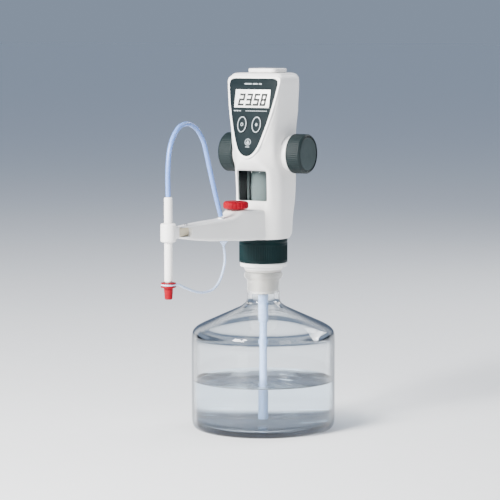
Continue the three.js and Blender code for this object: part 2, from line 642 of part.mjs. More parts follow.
function housingScrew(x, z) {
	const { head, shank, headY, headThick, tip } = SCREW;
	const top = headY + headThick;
	const profile = [[0, tip], [shank, tip], [shank, headY], [head, headY], [head, top], [0, top]];
	return alongY(turned(profile, 12), x, z);
}

function tetherHook() {
	const { forward, radius, neck, bottom, waist, top } = HOOK;
	const flare = [[neck, bottom], [neck + 0.4, waist], [radius, top - 0.5], [radius, top]];
	return turned([[0, bottom], ...flare, [0, top]], 14).translate(0, -forward, 0);
}

// ---- assembly ----
const group = new THREE.Group();

function add(name, geometry, material) {
	const mesh = new THREE.Mesh(closed(geometry), material());
	mesh.name = name;
	group.add(mesh);
}

add('bottle', bottle(), GLASS);
add('joint_adapter', adapter(), NATURAL);
add('mounting_ring', ring(), RING_GREEN);
add('valve_block', valveBlock(), NATURAL);
add('suction_valve', suctionValve(), NATURAL);
add('valve_ball', new THREE.SphereGeometry(CHECK_BALL.radius, 14, 10).translate(0, 0, CHECK_BALL.z), GLASS);
const upperTube = pipe(SUCTION.upperBore, SUCTION.upper, SUCTION_Z.upperBottom, SUCTION_Z.upperTop, 16);
add('suction_tube_upper', upperTube, NATURAL);
const lowerTube = pipe(SUCTION.lowerBore, SUCTION.lower, SUCTION_Z.bottom, SUCTION_Z.lowerTop, 16);
add('suction_tube_lower', lowerTube, NATURAL);
add('glass_cylinder', pipe(BARREL.inner, BARREL.outer, BARREL.bottom, BARREL.top, 32), CLEAR);
add('piston_head', rod(PISTON.radius, PISTON.bottom, PISTON.top, 32), NATURAL);
add('piston_rod', pistonRod(), BEIGE);
add('drive_frame', driveFrame(), BLACK);
add('drive_shaft', alongX(rod(AXLE.radius, -AXLE.reach, AXLE.reach, 20), AXLE.y, AXLE.z), STEEL);
add('pinion', pinion(), BRASS);
[['left', -1], ['right', 1]].forEach(([name, side]) => {
	add(`handwheel_${name}`, wheel(side), WHEEL_GREEN);
	add(`handwheel_cap_${name}`, wheelCap(side), WHEEL_GREEN);
});

const [housingFront, housingRear] = housingShells();
add('housing_front', housingFront, WHITE);
add('housing_rear', housingRear, WHITE);
add('top_cover', topCover(), WHITE);
SCREWS.flatMap(([x, z]) => [[-x, z], [x, z]]).forEach(([x, z], i) => {
	add(`housing_screw_${i + 1}`, housingScrew(x, z), STEEL);
});

add('display_fascia', fascia(), SLATE);
add('lcd_module', lcd(), SCREEN);
add('circuit_board', circuitBoard(), BOARD_GREEN);
[['power', -1], ['clear', 1]].forEach(([name, side]) => {
	add(`key_${name}`, key(side * KEY.x), SLATE);
	add(`key_switch_${name}`, keySwitch(side * KEY.x), BLACK);
});
const paneX = WINDOW.half - GAP;
const paneY = [-WINDOW.paneF, WINDOW.pane - WINDOW.paneF];
add('window_pane', box(-paneX, paneX, ...paneY, WINDOW.bottom + GAP, WINDOW.top - GAP), CLEAR);
[-1, 1].forEach((side, i) => {
	const cell = rod(BATTERY.radius, BATTERY.bottom, BATTERY.top, 20);
	add(`battery_${i + 1}`, cell.translate(side * BATTERY.x, BATTERY.y, 0), STEEL);
});
const contactY = [BATTERY.y - CONTACT.depth, BATTERY.y + CONTACT.depth];
[['lower', BATTERY.bottom - GAP - CONTACT.thick], ['upper', BATTERY.top + GAP]].forEach(([name, z]) => {
	add(`battery_contact_${name}`, box(-CONTACT.half, CONTACT.half, ...contactY, z, z + CONTACT.thick), STEEL);
});
const doorY = [DOOR.back - DOOR.thick, DOOR.back];
add('battery_door', box(-DOOR.half, DOOR.half, ...doorY, DOOR.bottom, DOOR.top), WHITE);

add('arm_housing', arm(), WHITE);
add('purge_knob', knob(), RED);
const knobStem = rod(SPINDLE.radius, SPINDLE.bottom, KNOB.bottom - GAP, 16);
add('purge_spindle', knobStem.translate(0, -KNOB.forward, 0), NATURAL);
const purgeValve = rod(PURGE_VALVE.radius, PURGE_VALVE.bottom, PURGE_VALVE.top, 20);
add('purge_valve', purgeValve.translate(0, -KNOB.forward, 0), NATURAL);
const dischargeValve = rod(DISCHARGE.valve, -DISCHARGE.valveTo, -BLOCK.radius - 2 * GAP, 20);
add('discharge_valve', alongY(dischargeValve, 0, DISCHARGE.valveZ), NATURAL);
const dischargeTube = rod(DISCHARGE.tube, -DISCHARGE.tubeTo, -DISCHARGE.tubeFrom, 12);
add('discharge_tube', alongY(dischargeTube, 0, DISCHARGE.tubeZ), NATURAL);
add('hose_socket', socket(), NATURAL);
add('delivery_hose', hose(HOSE_ROUTE, HOSE_RADIUS, 8, 26), NATURAL);
const armScrew = rod(ARM_SCREW.radius, ARM_SCREW.bottom, ARM_SCREW.top, 12);
add('arm_screw', armScrew.translate(0, -ARM_SCREW.forward, 0), STEEL);
const rodSpan = [ROD.z - ROD.height / 2, ROD.z + ROD.height / 2];
add('extension_rod', box(-ROD.width / 2, ROD.width / 2, -ROD.to, -ROD.from, ...rodSpan), BEIGE);
add('tube_clamp', clamp(), WHITE);
const atTube = (geometry) => geometry.translate(0, -TUBE.forward, 0);
add('titrating_tube', atTube(pipe(TUBE.bore, TUBE.radius, TUBE.bottom, TUBE.top, 24)), WHITE);
add('nozzle_tip', atTube(pipe(NOZZLE.bore, NOZZLE.radius, NOZZLE.bottom, NOZZLE.top, 12)), NATURAL);
add('tip_cap', tipCap(), RED);
const loop = pipe(CAP.groove + GAP, TETHER_RING.radius, TETHER_RING.bottom, TETHER_RING.top, 24);
add('tether_ring', atTube(loop), NATURAL);
add('tether_hook', tetherHook(), NATURAL);
add('cap_tether', hose(TETHER_ROUTE, TETHER_RADIUS, 8, 28), NATURAL);

export default group;
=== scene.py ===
"""A digital bottle-top burette on its reservoir bottle, in a plain pale studio.

Sizes are in millimetres until mesh_object() turns them into metres. The frame is the CAD's: +Z up from
the bottle's base, and the display faces -Y, so a "forward" distance is measured along -Y."""

import math

import bmesh
import bpy
from mathutils import Matrix, Vector


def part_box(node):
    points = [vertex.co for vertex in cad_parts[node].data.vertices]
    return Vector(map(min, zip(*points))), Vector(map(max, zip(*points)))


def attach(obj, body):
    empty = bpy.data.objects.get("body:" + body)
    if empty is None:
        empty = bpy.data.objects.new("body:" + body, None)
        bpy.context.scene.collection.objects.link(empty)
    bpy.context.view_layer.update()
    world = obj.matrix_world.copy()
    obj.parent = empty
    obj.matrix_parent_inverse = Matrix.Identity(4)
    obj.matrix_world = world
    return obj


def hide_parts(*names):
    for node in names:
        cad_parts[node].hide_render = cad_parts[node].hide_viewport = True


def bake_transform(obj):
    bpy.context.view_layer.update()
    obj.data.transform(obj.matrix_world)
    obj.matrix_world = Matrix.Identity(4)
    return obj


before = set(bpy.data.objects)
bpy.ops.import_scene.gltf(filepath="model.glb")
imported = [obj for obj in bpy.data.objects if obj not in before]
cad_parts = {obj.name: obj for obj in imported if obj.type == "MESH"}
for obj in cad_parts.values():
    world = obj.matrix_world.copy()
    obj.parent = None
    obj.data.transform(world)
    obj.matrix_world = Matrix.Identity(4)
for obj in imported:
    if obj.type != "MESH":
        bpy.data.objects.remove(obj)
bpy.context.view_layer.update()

MM = 0.001
SHARP = 38  # edges steeper than this many degrees stay crisp, unless a piece says otherwise
MERGE = 2e-6  # metres
DEGENERATE = 1e-6


def limits(node):
    """The lowest and highest corner of a CAD node, in millimetres."""
    low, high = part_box(node)
    return [c / MM for c in low], [c / MM for c in high]


# ---- camera

CAMERA_AZIMUTH = math.radians(30)
CAMERA_DISTANCE = 2.6
CAMERA_HEIGHT = 0.462
TARGET_HEIGHT = 0.208
TARGET_LEFT = 0.0154  # the bottle's axis stands a little right of the middle
LENS = 162.8

camera_data = bpy.data.cameras.new("camera")
camera_data.lens = LENS
camera = bpy.data.objects.new("camera", camera_data)
bpy.context.scene.collection.objects.link(camera)
across = Vector((math.cos(CAMERA_AZIMUTH), math.sin(CAMERA_AZIMUTH), 0))
away = Vector((-math.sin(CAMERA_AZIMUTH), math.cos(CAMERA_AZIMUTH), 0))
camera.location = -away * CAMERA_DISTANCE + Vector((0, 0, CAMERA_HEIGHT))
aim = -across * TARGET_LEFT + Vector((0, 0, TARGET_HEIGHT)) - camera.location
camera.rotation_euler = aim.to_track_quat("-Z", "Y").to_euler()
bpy.context.scene.camera = camera

# ---- mesh helpers


def mesh_object(name, points, faces, sharp=SHARP):
    """A smooth-shaded object from points in millimetres. Edges over "sharp" degrees stay crisp."""
    mesh = bpy.data.meshes.new(name)
    mesh.from_pydata([[c * MM for c in p] for p in points], [], faces)
    return tidied(name, mesh, sharp)


def clean(mesh, sharp, outward=False):
    """Merges doubles in a mesh, turns its faces outward if asked, and shades it."""
    work = bmesh.new()
    work.from_mesh(mesh)
    bmesh.ops.remove_doubles(work, verts=work.verts, dist=MERGE)
    bmesh.ops.dissolve_degenerate(work, edges=work.edges, dist=DEGENERATE)
    if outward:
        bmesh.ops.recalc_face_normals(work, faces=work.faces)
    work.to_mesh(mesh)
    work.free()
    mesh.shade_smooth()
    mesh.set_sharp_from_angle(angle=math.radians(sharp))


def tidied(name, mesh, sharp=SHARP):
    """An object on that mesh, cleaned, with its faces turned outward."""
    clean(mesh, sharp, outward=True)
    obj = bpy.data.objects.new(name, mesh)
    bpy.context.scene.collection.objects.link(obj)
    return obj


def lathe(name, profile, sides=96, place=None, radius_at=None, sharp=SHARP):
    """A solid of revolution about Z. The profile starts and ends on the axis, or closes on itself.
    radius_at(r, z, angle) can vary the radius round the axis, as ribs do."""
    place = place or Matrix.Identity(4)
    ring = profile[:-1] if profile[0] == profile[-1] else profile
    points, rows = [], []
    for r, z in ring:
        row = []
        for i in range(sides):
            angle = 2 * math.pi * i / sides
            radius = radius_at(r, z, angle) if radius_at and r > 0 else r
            row.append(len(points))
            x, y = radius * math.cos(angle), radius * math.sin(angle)
            points.append(place @ Vector((x, y, z)))
        rows.append(row)
    pairs = list(zip(rows, rows[1:]))
    if profile[0] == profile[-1]:
        pairs.append((rows[-1], rows[0]))
    faces = []
    for low, high in pairs:
        for i in range(sides):
            j = (i + 1) % sides
            faces.append((low[i], low[j], high[j], high[i]))
    return mesh_object(name, points, faces, sharp)


def bowed(start, corner, end, steps):
    """Points on the quadratic curve from start to end that is pulled towards corner."""
    out = []
    for k in range(steps + 1):
        t = k / steps
        threes = zip(start, corner, end)
        out.append(tuple(a * (1 - t) ** 2 + b * 2 * t * (1 - t) + c * t * t for a, b, c in threes))
    return out


def part_way(start, end, distance):
    """The point that distance from start towards end, at most 45% of the way."""
    length = math.dist(start, end)
    share = min(distance, length * 0.45) / length
    return tuple(a + (b - a) * share for a, b in zip(start, end))


def curved(a, b, slope_a, slope_b, step, t):
    """The value at share t of a step, on the cubic that leaves a and meets b with those slopes."""
    ends = (1 + 2 * t) * (1 - t) ** 2 * a + t * t * (3 - 2 * t) * b
    return ends + t * (1 - t) ** 2 * step * slope_a + t * t * (t - 1) * step * slope_b


def softened(profile, radius, steps=4, closed=False):
    """The profile with its corners rounded. Its two ends stay where they are unless it is closed.
    radius is one number, or a function of the corner."""
    count = len(profile)
    out = []
    for i, corner in enumerate(profile):
        if not closed and i in (0, count - 1):
            out.append(tuple(corner))
            continue
        size = radius(corner) if callable(radius) else radius
        start = part_way(corner, profile[i - 1], size)
        end = part_way(corner, profile[(i + 1) % count], size)
        out += bowed(start, corner, end, steps)
    if closed:
        out.append(out[0])
    return out


def rounded_rectangle(x0, y0, x1, y1, radius, steps=4):
    """The closed outline of a rectangle between two corners, with its corners rounded."""
    corners = [(x0, y0), (x1, y0), (x1, y1), (x0, y1)]
    return softened(corners, radius, steps, closed=True)[:-1]


def lofted(name, rings, sharp=SHARP):
    """A closed solid through rings of equal count, with flat ends."""
    count = len(rings[0])
    points = [p for ring in rings for p in ring]
    faces = []
    for r in range(len(rings) - 1):
        for i in range(count):
            a, b = r * count + i, r * count + (i + 1) % count
            faces.append((a, b, b + count, a + count))
    for r in (0, len(rings) - 1):
        faces.append(tuple(r * count + i for i in range(count)))
    return mesh_object(name, points, faces, sharp)


def grown(outline, distance):
    """A closed outline moved outward along its own normals. It runs anticlockwise."""
    out = []
    count = len(outline)
    for i in range(count):
        (x0, y0), (x1, y1) = outline[i - 1], outline[(i + 1) % count]
        length = math.hypot(x1 - x0, y1 - y0) or 1
        x, y = outline[i]
        out.append((x + (y1 - y0) / length * distance, y - (x1 - x0) / length * distance))
    return out


def prism(name, outline, low, high, place=None, edge=0.0, both=False, sharp=SHARP):
    """An outline in a plane given thickness from low to high. Its top edge is rounded by "edge", and
    its bottom edge too where "both" is set."""
    place = place or Matrix.Identity(4)
    levels = [(low, 0)]
    if edge:
        if both:
            levels = [(low, -edge), (low + edge * 0.3, -edge * 0.3), (low + edge, 0)]
        levels += [(high - edge, 0), (high - edge * 0.3, -edge * 0.3), (high, -edge)]
    else:
        levels.append((high, 0))
    rings = []
    for z, grow in levels:
        rings.append([place @ Vector((x, y, z)) for x, y in grown(outline, grow)])
    return lofted(name, rings, sharp)


def rounded_box(name, low, high, radius=1.0, edge=0.5, place=None):
    """A box whose upright edges are rounded by radius and whose flat faces have soft edges."""
    outline = rounded_rectangle(low[0], low[1], high[0], high[1], radius)
    return prism(name, outline, low[2], high[2], place, edge, both=True)


def boolean(target, cutter, operation="DIFFERENCE"):
    """target joined with or cut by cutter, which is used up."""
    modifier = target.modifiers.new("cut", "BOOLEAN")
    modifier.operation = operation
    modifier.solver = "EXACT"
    modifier.object = cutter
    graph = bpy.context.evaluated_depsgraph_get()
    graph.update()
    result = bpy.data.meshes.new_from_object(target.evaluated_get(graph))
    target.modifiers.clear()
    old = target.data
    target.data = result
    bpy.data.meshes.remove(old)
    bpy.data.objects.remove(cutter)
    return target


def settle(obj, sharp=SHARP):
    """Cleans an object's mesh after booleans and shades it again."""
    clean(obj.data, sharp)
    return obj


def joined(name, objects, sharp=SHARP):
    """One object holding the meshes of several."""
    work = bmesh.new()
    for obj in objects:
        work.from_mesh(obj.data)
        bpy.data.objects.remove(obj)
    mesh = bpy.data.meshes.new(name)
    work.to_mesh(mesh)
    work.free()
    return tidied(name, mesh, sharp)


def along_x(y, z, side=1):
    """Places a solid made about Z so that its axis lies along +X, or along -X if side is -1."""
    return Matrix.Translation((0, y, z)) @ Matrix.Rotation(side * math.pi / 2, 4, "Y")


def along_y(x, z):
    """Places a solid made about Z so that its axis lies along +Y."""
    return Matrix.Translation((x, 0, z)) @ Matrix.Rotation(-math.pi / 2, 4, "X")


def at_forward(forward):
    """Places a solid made about Z so that it stands that far forward."""
    return Matrix.Translation((0, -forward, 0))


def smooth_line(knots, samples):
    """Points on a smooth curve through the knots, at even shares of its length."""
    pins = [Vector(k) for k in knots]
    pins = [2 * pins[0] - pins[1], *pins, 2 * pins[-1] - pins[-2]]
    fine = []
    for i in range(1, len(pins) - 2):
        before, a, b, after = pins[i - 1 : i + 3]
        for k in range(16):
            t = k / 16
            second = (2 * before - 5 * a + 4 * b - after) * t * t
            third = (3 * a - before - 3 * b + after) * t**3
            fine.append(0.5 * (2 * a + (b - before) * t + second + third))
    fine.append(pins[-2])
    lengths = [0.0]
    for a, b in zip(fine, fine[1:]):
        lengths.append(lengths[-1] + (b - a).length)
    out, k = [], 0
    for n in range(samples + 1):
        want = lengths[-1] * n / samples
        while k < len(lengths) - 2 and lengths[k + 1] < want:
            k += 1
        share = (want - lengths[k]) / ((lengths[k + 1] - lengths[k]) or 1)
        out.append(fine[k].lerp(fine[k + 1], share))
    return out


def hose(name, line, radius, sides=20):
    """A round tube along a line of points that lies in the plane X = 0."""
    rings = []
    for i, point in enumerate(line):
        ahead = line[min(i + 1, len(line) - 1)] - line[max(i - 1, 0)]
        side = Vector((1, 0, 0))
        up = side.cross(ahead.normalized())
        turn = [2 * math.pi * k / sides for k in range(sides)]
        rings.append([point + (side * math.cos(a) + up * math.sin(a)) * radius for a in turn])
    return lofted(name, rings, 60)


# ---- materials


def new_material(name):
    """A material, its node tree and its shader."""
    material = bpy.data.materials.new(name)
    material.use_nodes = True
    tree = material.node_tree
    shader = tree.nodes["Principled BSDF"]
    return material, tree, shader


def settings(node, **numbers):
    """Sets a node's inputs. An underscore in a name stands for a space."""
    for name, number in numbers.items():
        node.inputs[name.replace("_", " ")].default_value = number


def here(tree):
    """The shaded point in the object's own axes, in metres."""
    return tree.nodes.new("ShaderNodeTexCoord").outputs["Object"]


def noise(tree, scale, detail=3.0, roughness=0.5):
    """Soft random patches, from 0 to 1."""
    node = tree.nodes.new("ShaderNodeTexNoise")
    settings(node, Scale=scale, Detail=detail, Roughness=roughness)
    tree.links.new(here(tree), node.inputs["Vector"])
    return node.outputs["Fac"]


def ramp(tree, factor, low, high, start=0.3, end=0.7):
    """A colour ramp from low to high."""
    node = tree.nodes.new("ShaderNodeValToRGB")
    node.color_ramp.elements[0].position = start
    node.color_ramp.elements[1].position = end
    node.color_ramp.elements[0].color = (*low, 1)
    node.color_ramp.elements[1].color = (*high, 1)
    tree.links.new(factor, node.inputs["Fac"])
    return node.outputs["Color"]


def mapped(tree, value, start, end, low=0.0, high=1.0):
    """value mapped from start..end to low..high. start may be the larger."""
    node = tree.nodes.new("ShaderNodeMapRange")
    settings(node, From_Min=start, From_Max=end, To_Min=low, To_Max=high)
    tree.links.new(value, node.inputs["Value"])
    return node.outputs["Result"]


def between(tree, factor, low, high):
    """The middle of a noise's range mapped to low..high."""
    return mapped(tree, factor, 0.3, 0.7, low, high)


def bump(tree, shader, height, strength, distance=0.0002):
    """Fine relief on the shader from a height."""
    node = tree.nodes.new("ShaderNodeBump")
    settings(node, Strength=strength, Distance=distance)
    tree.links.new(height, node.inputs["Height"])
    tree.links.new(node.outputs["Normal"], shader.inputs["Normal"])


def plastic(
    name, colour, roughness, vary=0.06, grain=1400, relief=0.12, coat=0.0, glow=0.0, shine=0.5
):
    """Moulded plastic: faint cloudiness in the colour, fine grain, uneven gloss."""
    material, tree, shader = new_material(name)
    low = [c * (1 - vary) for c in colour]
    high = [min(1, c * (1 + vary)) for c in colour]
    tree.links.new(ramp(tree, noise(tree, 28), low, high), shader.inputs["Base Color"])
    gloss = between(tree, noise(tree, 90), roughness * 0.88, roughness * 1.14)
    tree.links.new(gloss, shader.inputs["Roughness"])
    bump(tree, shader, noise(tree, grain, 2.0), relief)
    settings(shader, Specular_IOR_Level=shine, Coat_Weight=coat, Coat_Roughness=0.2)
    if glow:
        depth = (0.004, 0.004, 0.0045)
        settings(shader, Subsurface_Weight=glow, Subsurface_Radius=depth, Subsurface_Scale=1.0)
    return material


def metal(name, colour, roughness):
    """Turned or drawn metal, with fine lines along one way."""
    material, tree, shader = new_material(name)
    mapping = tree.nodes.new("ShaderNodeMapping")
    settings(mapping, Scale=(1, 1, 14))
    lines = tree.nodes.new("ShaderNodeTexNoise")
    settings(lines, Scale=600)
    tree.links.new(here(tree), mapping.inputs["Vector"])
    tree.links.new(mapping.outputs["Vector"], lines.inputs["Vector"])
    line = lines.outputs["Fac"]
    shade = ramp(tree, line, [c * 0.85 for c in colour], colour)
    tree.links.new(shade, shader.inputs["Base Color"])
    gloss = between(tree, line, roughness * 0.8, roughness * 1.25)
    tree.links.new(gloss, shader.inputs["Roughness"])
    bump(tree, shader, line, 0.08, 0.0001)
    settings(shader, Metallic=1.0)
    return material


def edge_on(tree, start, end):
    """0 where a surface faces the eye and 1 where it is seen edge on. The colour it mixes in is mostly
    painted shade for dark surroundings seen in glass, and a little of light's longer path in glass.
    """
    facing = tree.nodes.new("ShaderNodeLayerWeight")
    settings(facing, Blend=0.5)
    return mapped(tree, facing.outputs["Facing"], start, end)


def mixed(tree, factor, first, second):
    """first and second mixed by factor. Each is a colour or another node's output."""
    node = tree.nodes.new("ShaderNodeMix")
    node.data_type = "RGBA"
    tree.links.new(factor, node.inputs["Factor"])
    for socket, value in (("A", first), ("B", second)):
        place = next(s for s in node.inputs if s.name == socket and s.type == "RGBA")
        if isinstance(value, tuple):
            place.default_value = (*value, 1)
        else:
            tree.links.new(value, place)
    return next(s for s in node.outputs if s.type == "RGBA")


def height_step(tree, low, high):
    """0 below the height low and 1 above high, in metres. The other way round if low is the larger."""
    split = tree.nodes.new("ShaderNodeSeparateXYZ")
    tree.links.new(here(tree), split.inputs["Vector"])
    return mapped(tree, split.outputs["Z"], low, high)


def outward_step(tree, near, far):
    """0 nearer the Z axis than near and 1 further than far, in metres."""
    level = tree.nodes.new("ShaderNodeVectorMath")
    level.operation = "MULTIPLY"
    level.inputs[1].default_value = (1, 1, 0)
    reach = tree.nodes.new("ShaderNodeVectorMath")
    reach.operation = "LENGTH"
    tree.links.new(here(tree), level.inputs[0])
    tree.links.new(level.outputs["Vector"], reach.inputs[0])
    return mapped(tree, reach.outputs["Value"], near, far)


def glass(
    name, colour, ior=1.5, wave=0.02, wave_scale=18.0, dark=(0.45, 0.52, 0.56), clearness=1.0
):
    """Clear glass or liquid, with a very slight unevenness and a darker colour where seen edge on. That
    colour is mostly painted shade for dark surroundings, and a little of its own colour along the longer
    path.
    """
    material, tree, shader = new_material(name)
    low = [c * 0.985 for c in colour]
    clear = ramp(tree, noise(tree, 10, 1.0), low, colour)
    # painted shade: the colour mixed in where the glass is seen edge on stands for dark surroundings in its
    # reflections
    shade = mixed(tree, edge_on(tree, 0.62, 0.97), clear, dark)
    tree.links.new(shade, shader.inputs["Base Color"])
    settings(shader, Transmission_Weight=clearness, IOR=ior)
    tree.links.new(between(tree, noise(tree, 60, 1.0), 0.0, 0.012), shader.inputs["Roughness"])
    bump(tree, shader, noise(tree, wave_scale, 1.0), wave, 0.002)
    return material


def product(tree, first, second):
    """Two node outputs multiplied."""
    node = tree.nodes.new("ShaderNodeMath")
    node.operation = "MULTIPLY"
    tree.links.new(first, node.inputs[0])
    tree.links.new(second, node.inputs[1])
    return node.outputs["Value"]


def faded(tree, factor, least):
    """1 where factor is 0, down to least where factor is 1."""
    return mapped(tree, factor, 0.0, 1.0, 1.0, least)


def bottle_glass(name, frost_from, frost_to):
    """Clear glass with a faint blue tint, dark outlines and a dark foot. The outlines and the foot are
    painted shade for dark surroundings seen in and through the glass, and the outlines are a little the
    longer path in glass too. The blue is partly the glass's own tint and partly painted light of a blue
    backdrop. Its neck is ground between two heights.
    """
    material, tree, shader = new_material(name)
    above = height_step(tree, frost_from - 0.002, frost_from + 0.002)
    below = height_step(tree, frost_to + 0.001, frost_to - 0.001)
    frost = product(tree, above, below)
    patchy = between(tree, noise(tree, 70), 0.30, 0.46)
    tree.links.new(product(tree, frost, patchy), shader.inputs["Roughness"])
    # faint blue: partly the glass's own tint, partly painted light of a blue backdrop
    clear = ramp(tree, noise(tree, 12, 1.0), (0.925, 0.955, 0.975), (0.945, 0.97, 0.985))
    # painted shade: dark outlines where the glass is seen edge on, for dark surroundings, a little of it the
    # longer path in glass
    edge = edge_on(tree, 0.60, 0.80)
    wall = mixed(tree, edge, clear, (0.02, 0.03, 0.05))
    # painted shade: a dark foot low on the outer wall, for dark surroundings seen through the thick base
    foot = product(tree, height_step(tree, 0.015, 0.008), outward_step(tree, 0.062, 0.074))
    foot_painted_shade = mixed(tree, foot, wall, (0.07, 0.09, 0.13))
    shade = mixed(tree, frost, foot_painted_shade, (0.66, 0.66, 0.64))
    tree.links.new(shade, shader.inputs["Base Color"])
    # less light passes at the painted outlines, so that their dark shows, and at the ground neck
    clearness = product(tree, faded(tree, frost, 0.78), faded(tree, edge, 0.3))
    tree.links.new(clearness, shader.inputs["Transmission Weight"])
    settings(shader, IOR=1.5)
    bump(tree, shader, noise(tree, 16.0, 1.0), 0.05, 0.003)
    return material


def adapter_plastic(name, split):
    """Moulded plastic, white above the height split and a warmer grey on the ground cone below it."""
    material, tree, shader = new_material(name)
    cone = ramp(tree, noise(tree, 60), (0.46, 0.45, 0.42), (0.62, 0.60, 0.57))
    flange = ramp(tree, noise(tree, 30), (0.86, 0.86, 0.85), (0.89, 0.89, 0.88))
    shade = mixed(tree, height_step(tree, split - 0.0004, split + 0.0004), cone, flange)
    tree.links.new(shade, shader.inputs["Base Color"])
    tree.links.new(between(tree, noise(tree, 90), 0.34, 0.5), shader.inputs["Roughness"])
    bump(tree, shader, noise(tree, 900, 2.0), 0.12)
    return material


def board_material(name):
    """Solder mask with faint tracks."""
    material, tree, shader = new_material(name)
    tracks = tree.nodes.new("ShaderNodeTexBrick")
    masks = {"Color1": (0.02, 0.16, 0.07, 1), "Color2": (0.03, 0.2, 0.09, 1)}
    settings(tracks, Scale=260, Mortar=(0.06, 0.28, 0.12, 1), **masks)
    tree.links.new(here(tree), tracks.inputs["Vector"])
    tree.links.new(tracks.outputs["Color"], shader.inputs["Base Color"])
    tree.links.new(between(tree, noise(tree, 200), 0.35, 0.5), shader.inputs["Roughness"])
    return material


WHITE = plastic("white_plastic", (0.84, 0.83, 0.81), 0.4, vary=0.02, relief=0.08, coat=0.1)
SLATE = plastic("slate_plastic", (0.006, 0.011, 0.013), 0.55, vary=0.12, relief=0.06, shine=0.06)
WHEEL = plastic("wheel_plastic", (0.007, 0.013, 0.014), 0.5, vary=0.15, relief=0.2, shine=0.18)
WHEEL_FACE = plastic("wheel_face_plastic", (0.034, 0.051, 0.052), 0.5, vary=0.15, relief=0.1, shine=0.25)
RING = plastic("ring_plastic", (0.001, 0.010, 0.011), 0.45, vary=0.18, relief=0.12, shine=0.12)
RED = plastic("red_plastic", (0.25, 0.0, 0.009), 0.38, vary=0.08, relief=0.06, shine=0.1)
BEIGE = plastic("beige_plastic", (0.62, 0.55, 0.40), 0.5, vary=0.05)
NATURAL = plastic("natural_plastic", (0.82, 0.83, 0.82), 0.42, vary=0.03, glow=0.2)
HOSE = plastic("hose_plastic", (0.14, 0.26, 0.60), 0.3, vary=0.04, relief=0.05, glow=0.3)
SUCTION = plastic("suction_plastic", (0.30, 0.42, 0.66), 0.3, vary=0.05, relief=0.05, glow=0.3)
TETHER = plastic("tether_plastic", (0.50, 0.62, 0.88), 0.3, vary=0.04, relief=0.05, glow=0.35)
BLACK = plastic("black_plastic", (0.012, 0.014, 0.015), 0.45, vary=0.2)
GREY = plastic("grey_plastic", (0.05, 0.062, 0.066), 0.45, vary=0.1)
RACK = plastic("rack_plastic", (0.24, 0.24, 0.21), 0.5, vary=0.08, relief=0.2)
PRINT = plastic("light_print", (0.27, 0.31, 0.33), 0.5, vary=0.05)
SEGMENT = plastic("segment_grey", (0.03, 0.033, 0.033), 0.5, vary=0.1, shine=0.05)
SCREEN = plastic("screen", (0.82, 0.84, 0.81), 0.25, vary=0.015, relief=0.01, coat=0.25)
CELL = plastic("cell_sleeve", (0.02, 0.022, 0.025), 0.3, vary=0.1)
STEEL = metal("steel", (0.62, 0.63, 0.64), 0.28)
BRASS = metal("brass", (0.70, 0.52, 0.22), 0.3)
ADAPTER = adapter_plastic("adapter_plastic", 0.1862)
CLEAR = glass("clear_glass", (0.95, 0.98, 0.975))
PANE = glass("pane_glass", (0.78, 0.84, 0.83), 1.16, dark=(0.3, 0.34, 0.35))
BARREL = glass("barrel_glass", (0.17, 0.20, 0.205), 1.3, dark=(0.10, 0.13, 0.14), clearness=0.5)
# the water's blue is partly its own faint tint and partly painted light of a blue backdrop
WATER = glass("water", (0.80, 0.895, 0.98), 1.33, wave=0.03, wave_scale=40.0, dark=(0.86, 0.92, 0.97))
BOARD = board_material("board")
GROUND_FROM, GROUND_TO = 0.160, 0.183
BOTTLE_GLASS = bottle_glass("bottle_glass", GROUND_FROM, GROUND_TO)


def dress(obj, material, body=None, node=None):
    """Gives a piece its material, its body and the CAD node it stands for."""
    obj.data.materials.clear()
    obj.data.materials.append(material)
    if body:
        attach(obj, body)
    if node:
        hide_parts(node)
    return obj


# ---- hose and tether

# Routes as [forward, height], the same as the CAD's.
HOSE_ROUTE = [
    [94.9, 254.2], [99.2, 263.1], [108.4, 283.5], [117.8, 306.2], [125.4, 325.3], [131.7, 338.9],
    [142.4, 350.5], [152, 356.4], [164.6, 359.6], [178.3, 358.0], [188, 352.3], [197.3, 341.7],
    [202.6, 328.2], [204.9, 310.9], [205.1, 298.2], [204.5, 282.6],
]
TETHER_ROUTE = [
    [88.9, 218.8], [87.1, 212.2], [86.2, 204.9], [88.6, 195.9], [95.6, 184.1], [105.2, 176.3],
    [117.3, 172.5], [135.5, 172.3], [153.6, 175.6], [171.3, 181.2], [184.2, 185.6], [196.0, 187.4],
]


HOSE_RADIUS, TETHER_RADIUS = 2.6, 1.4
HOSE_SAMPLES, TETHER_SAMPLES = 96, 90


def flexing(name, line, radius, material, node):
    """One stretch of a hose or tether, as a round tube along its line, with the CAD node it stands for
    hidden.
    """
    obj = hose(name, line, radius)
    dress(obj, material)
    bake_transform(obj)
    if node:
        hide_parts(node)


hose_line = smooth_line([(0, -f, z) for f, z in HOSE_ROUTE], HOSE_SAMPLES)
tether_line = smooth_line([(0, -f, z) for f, z in TETHER_ROUTE], TETHER_SAMPLES)
top = max(range(len(hose_line)), key=lambda i: hose_line[i].z)
# Name, first and last sample, the bodies at its ends, and the CAD node it stands for.
HOSE_PARTS = (
    ("hose_from_arm", 0, top, ("head", "extension"), "delivery_hose"),
    ("hose_to_tube", top, HOSE_SAMPLES, ("extension", "titrating_tube"), None),
)
TETHER_PARTS = (
    ("tether_from_arm", 0, 34, ("head", "extension"), "cap_tether"),
    ("tether_middle", 34, 62, ("extension", "titrating_tube"), None),
    ("tether_to_cap", 62, TETHER_SAMPLES, ("titrating_tube", "tip_cap"), None),
)
for line, radius, material, stiffness, parts in (
    (hose_line, HOSE_RADIUS, HOSE, "stiff", HOSE_PARTS),
    (tether_line, TETHER_RADIUS, TETHER, "medium", TETHER_PARTS),
):
    for name, first, last, bodies, node in parts:
        flexing(name, line[first : last + 1], radius, material, node)

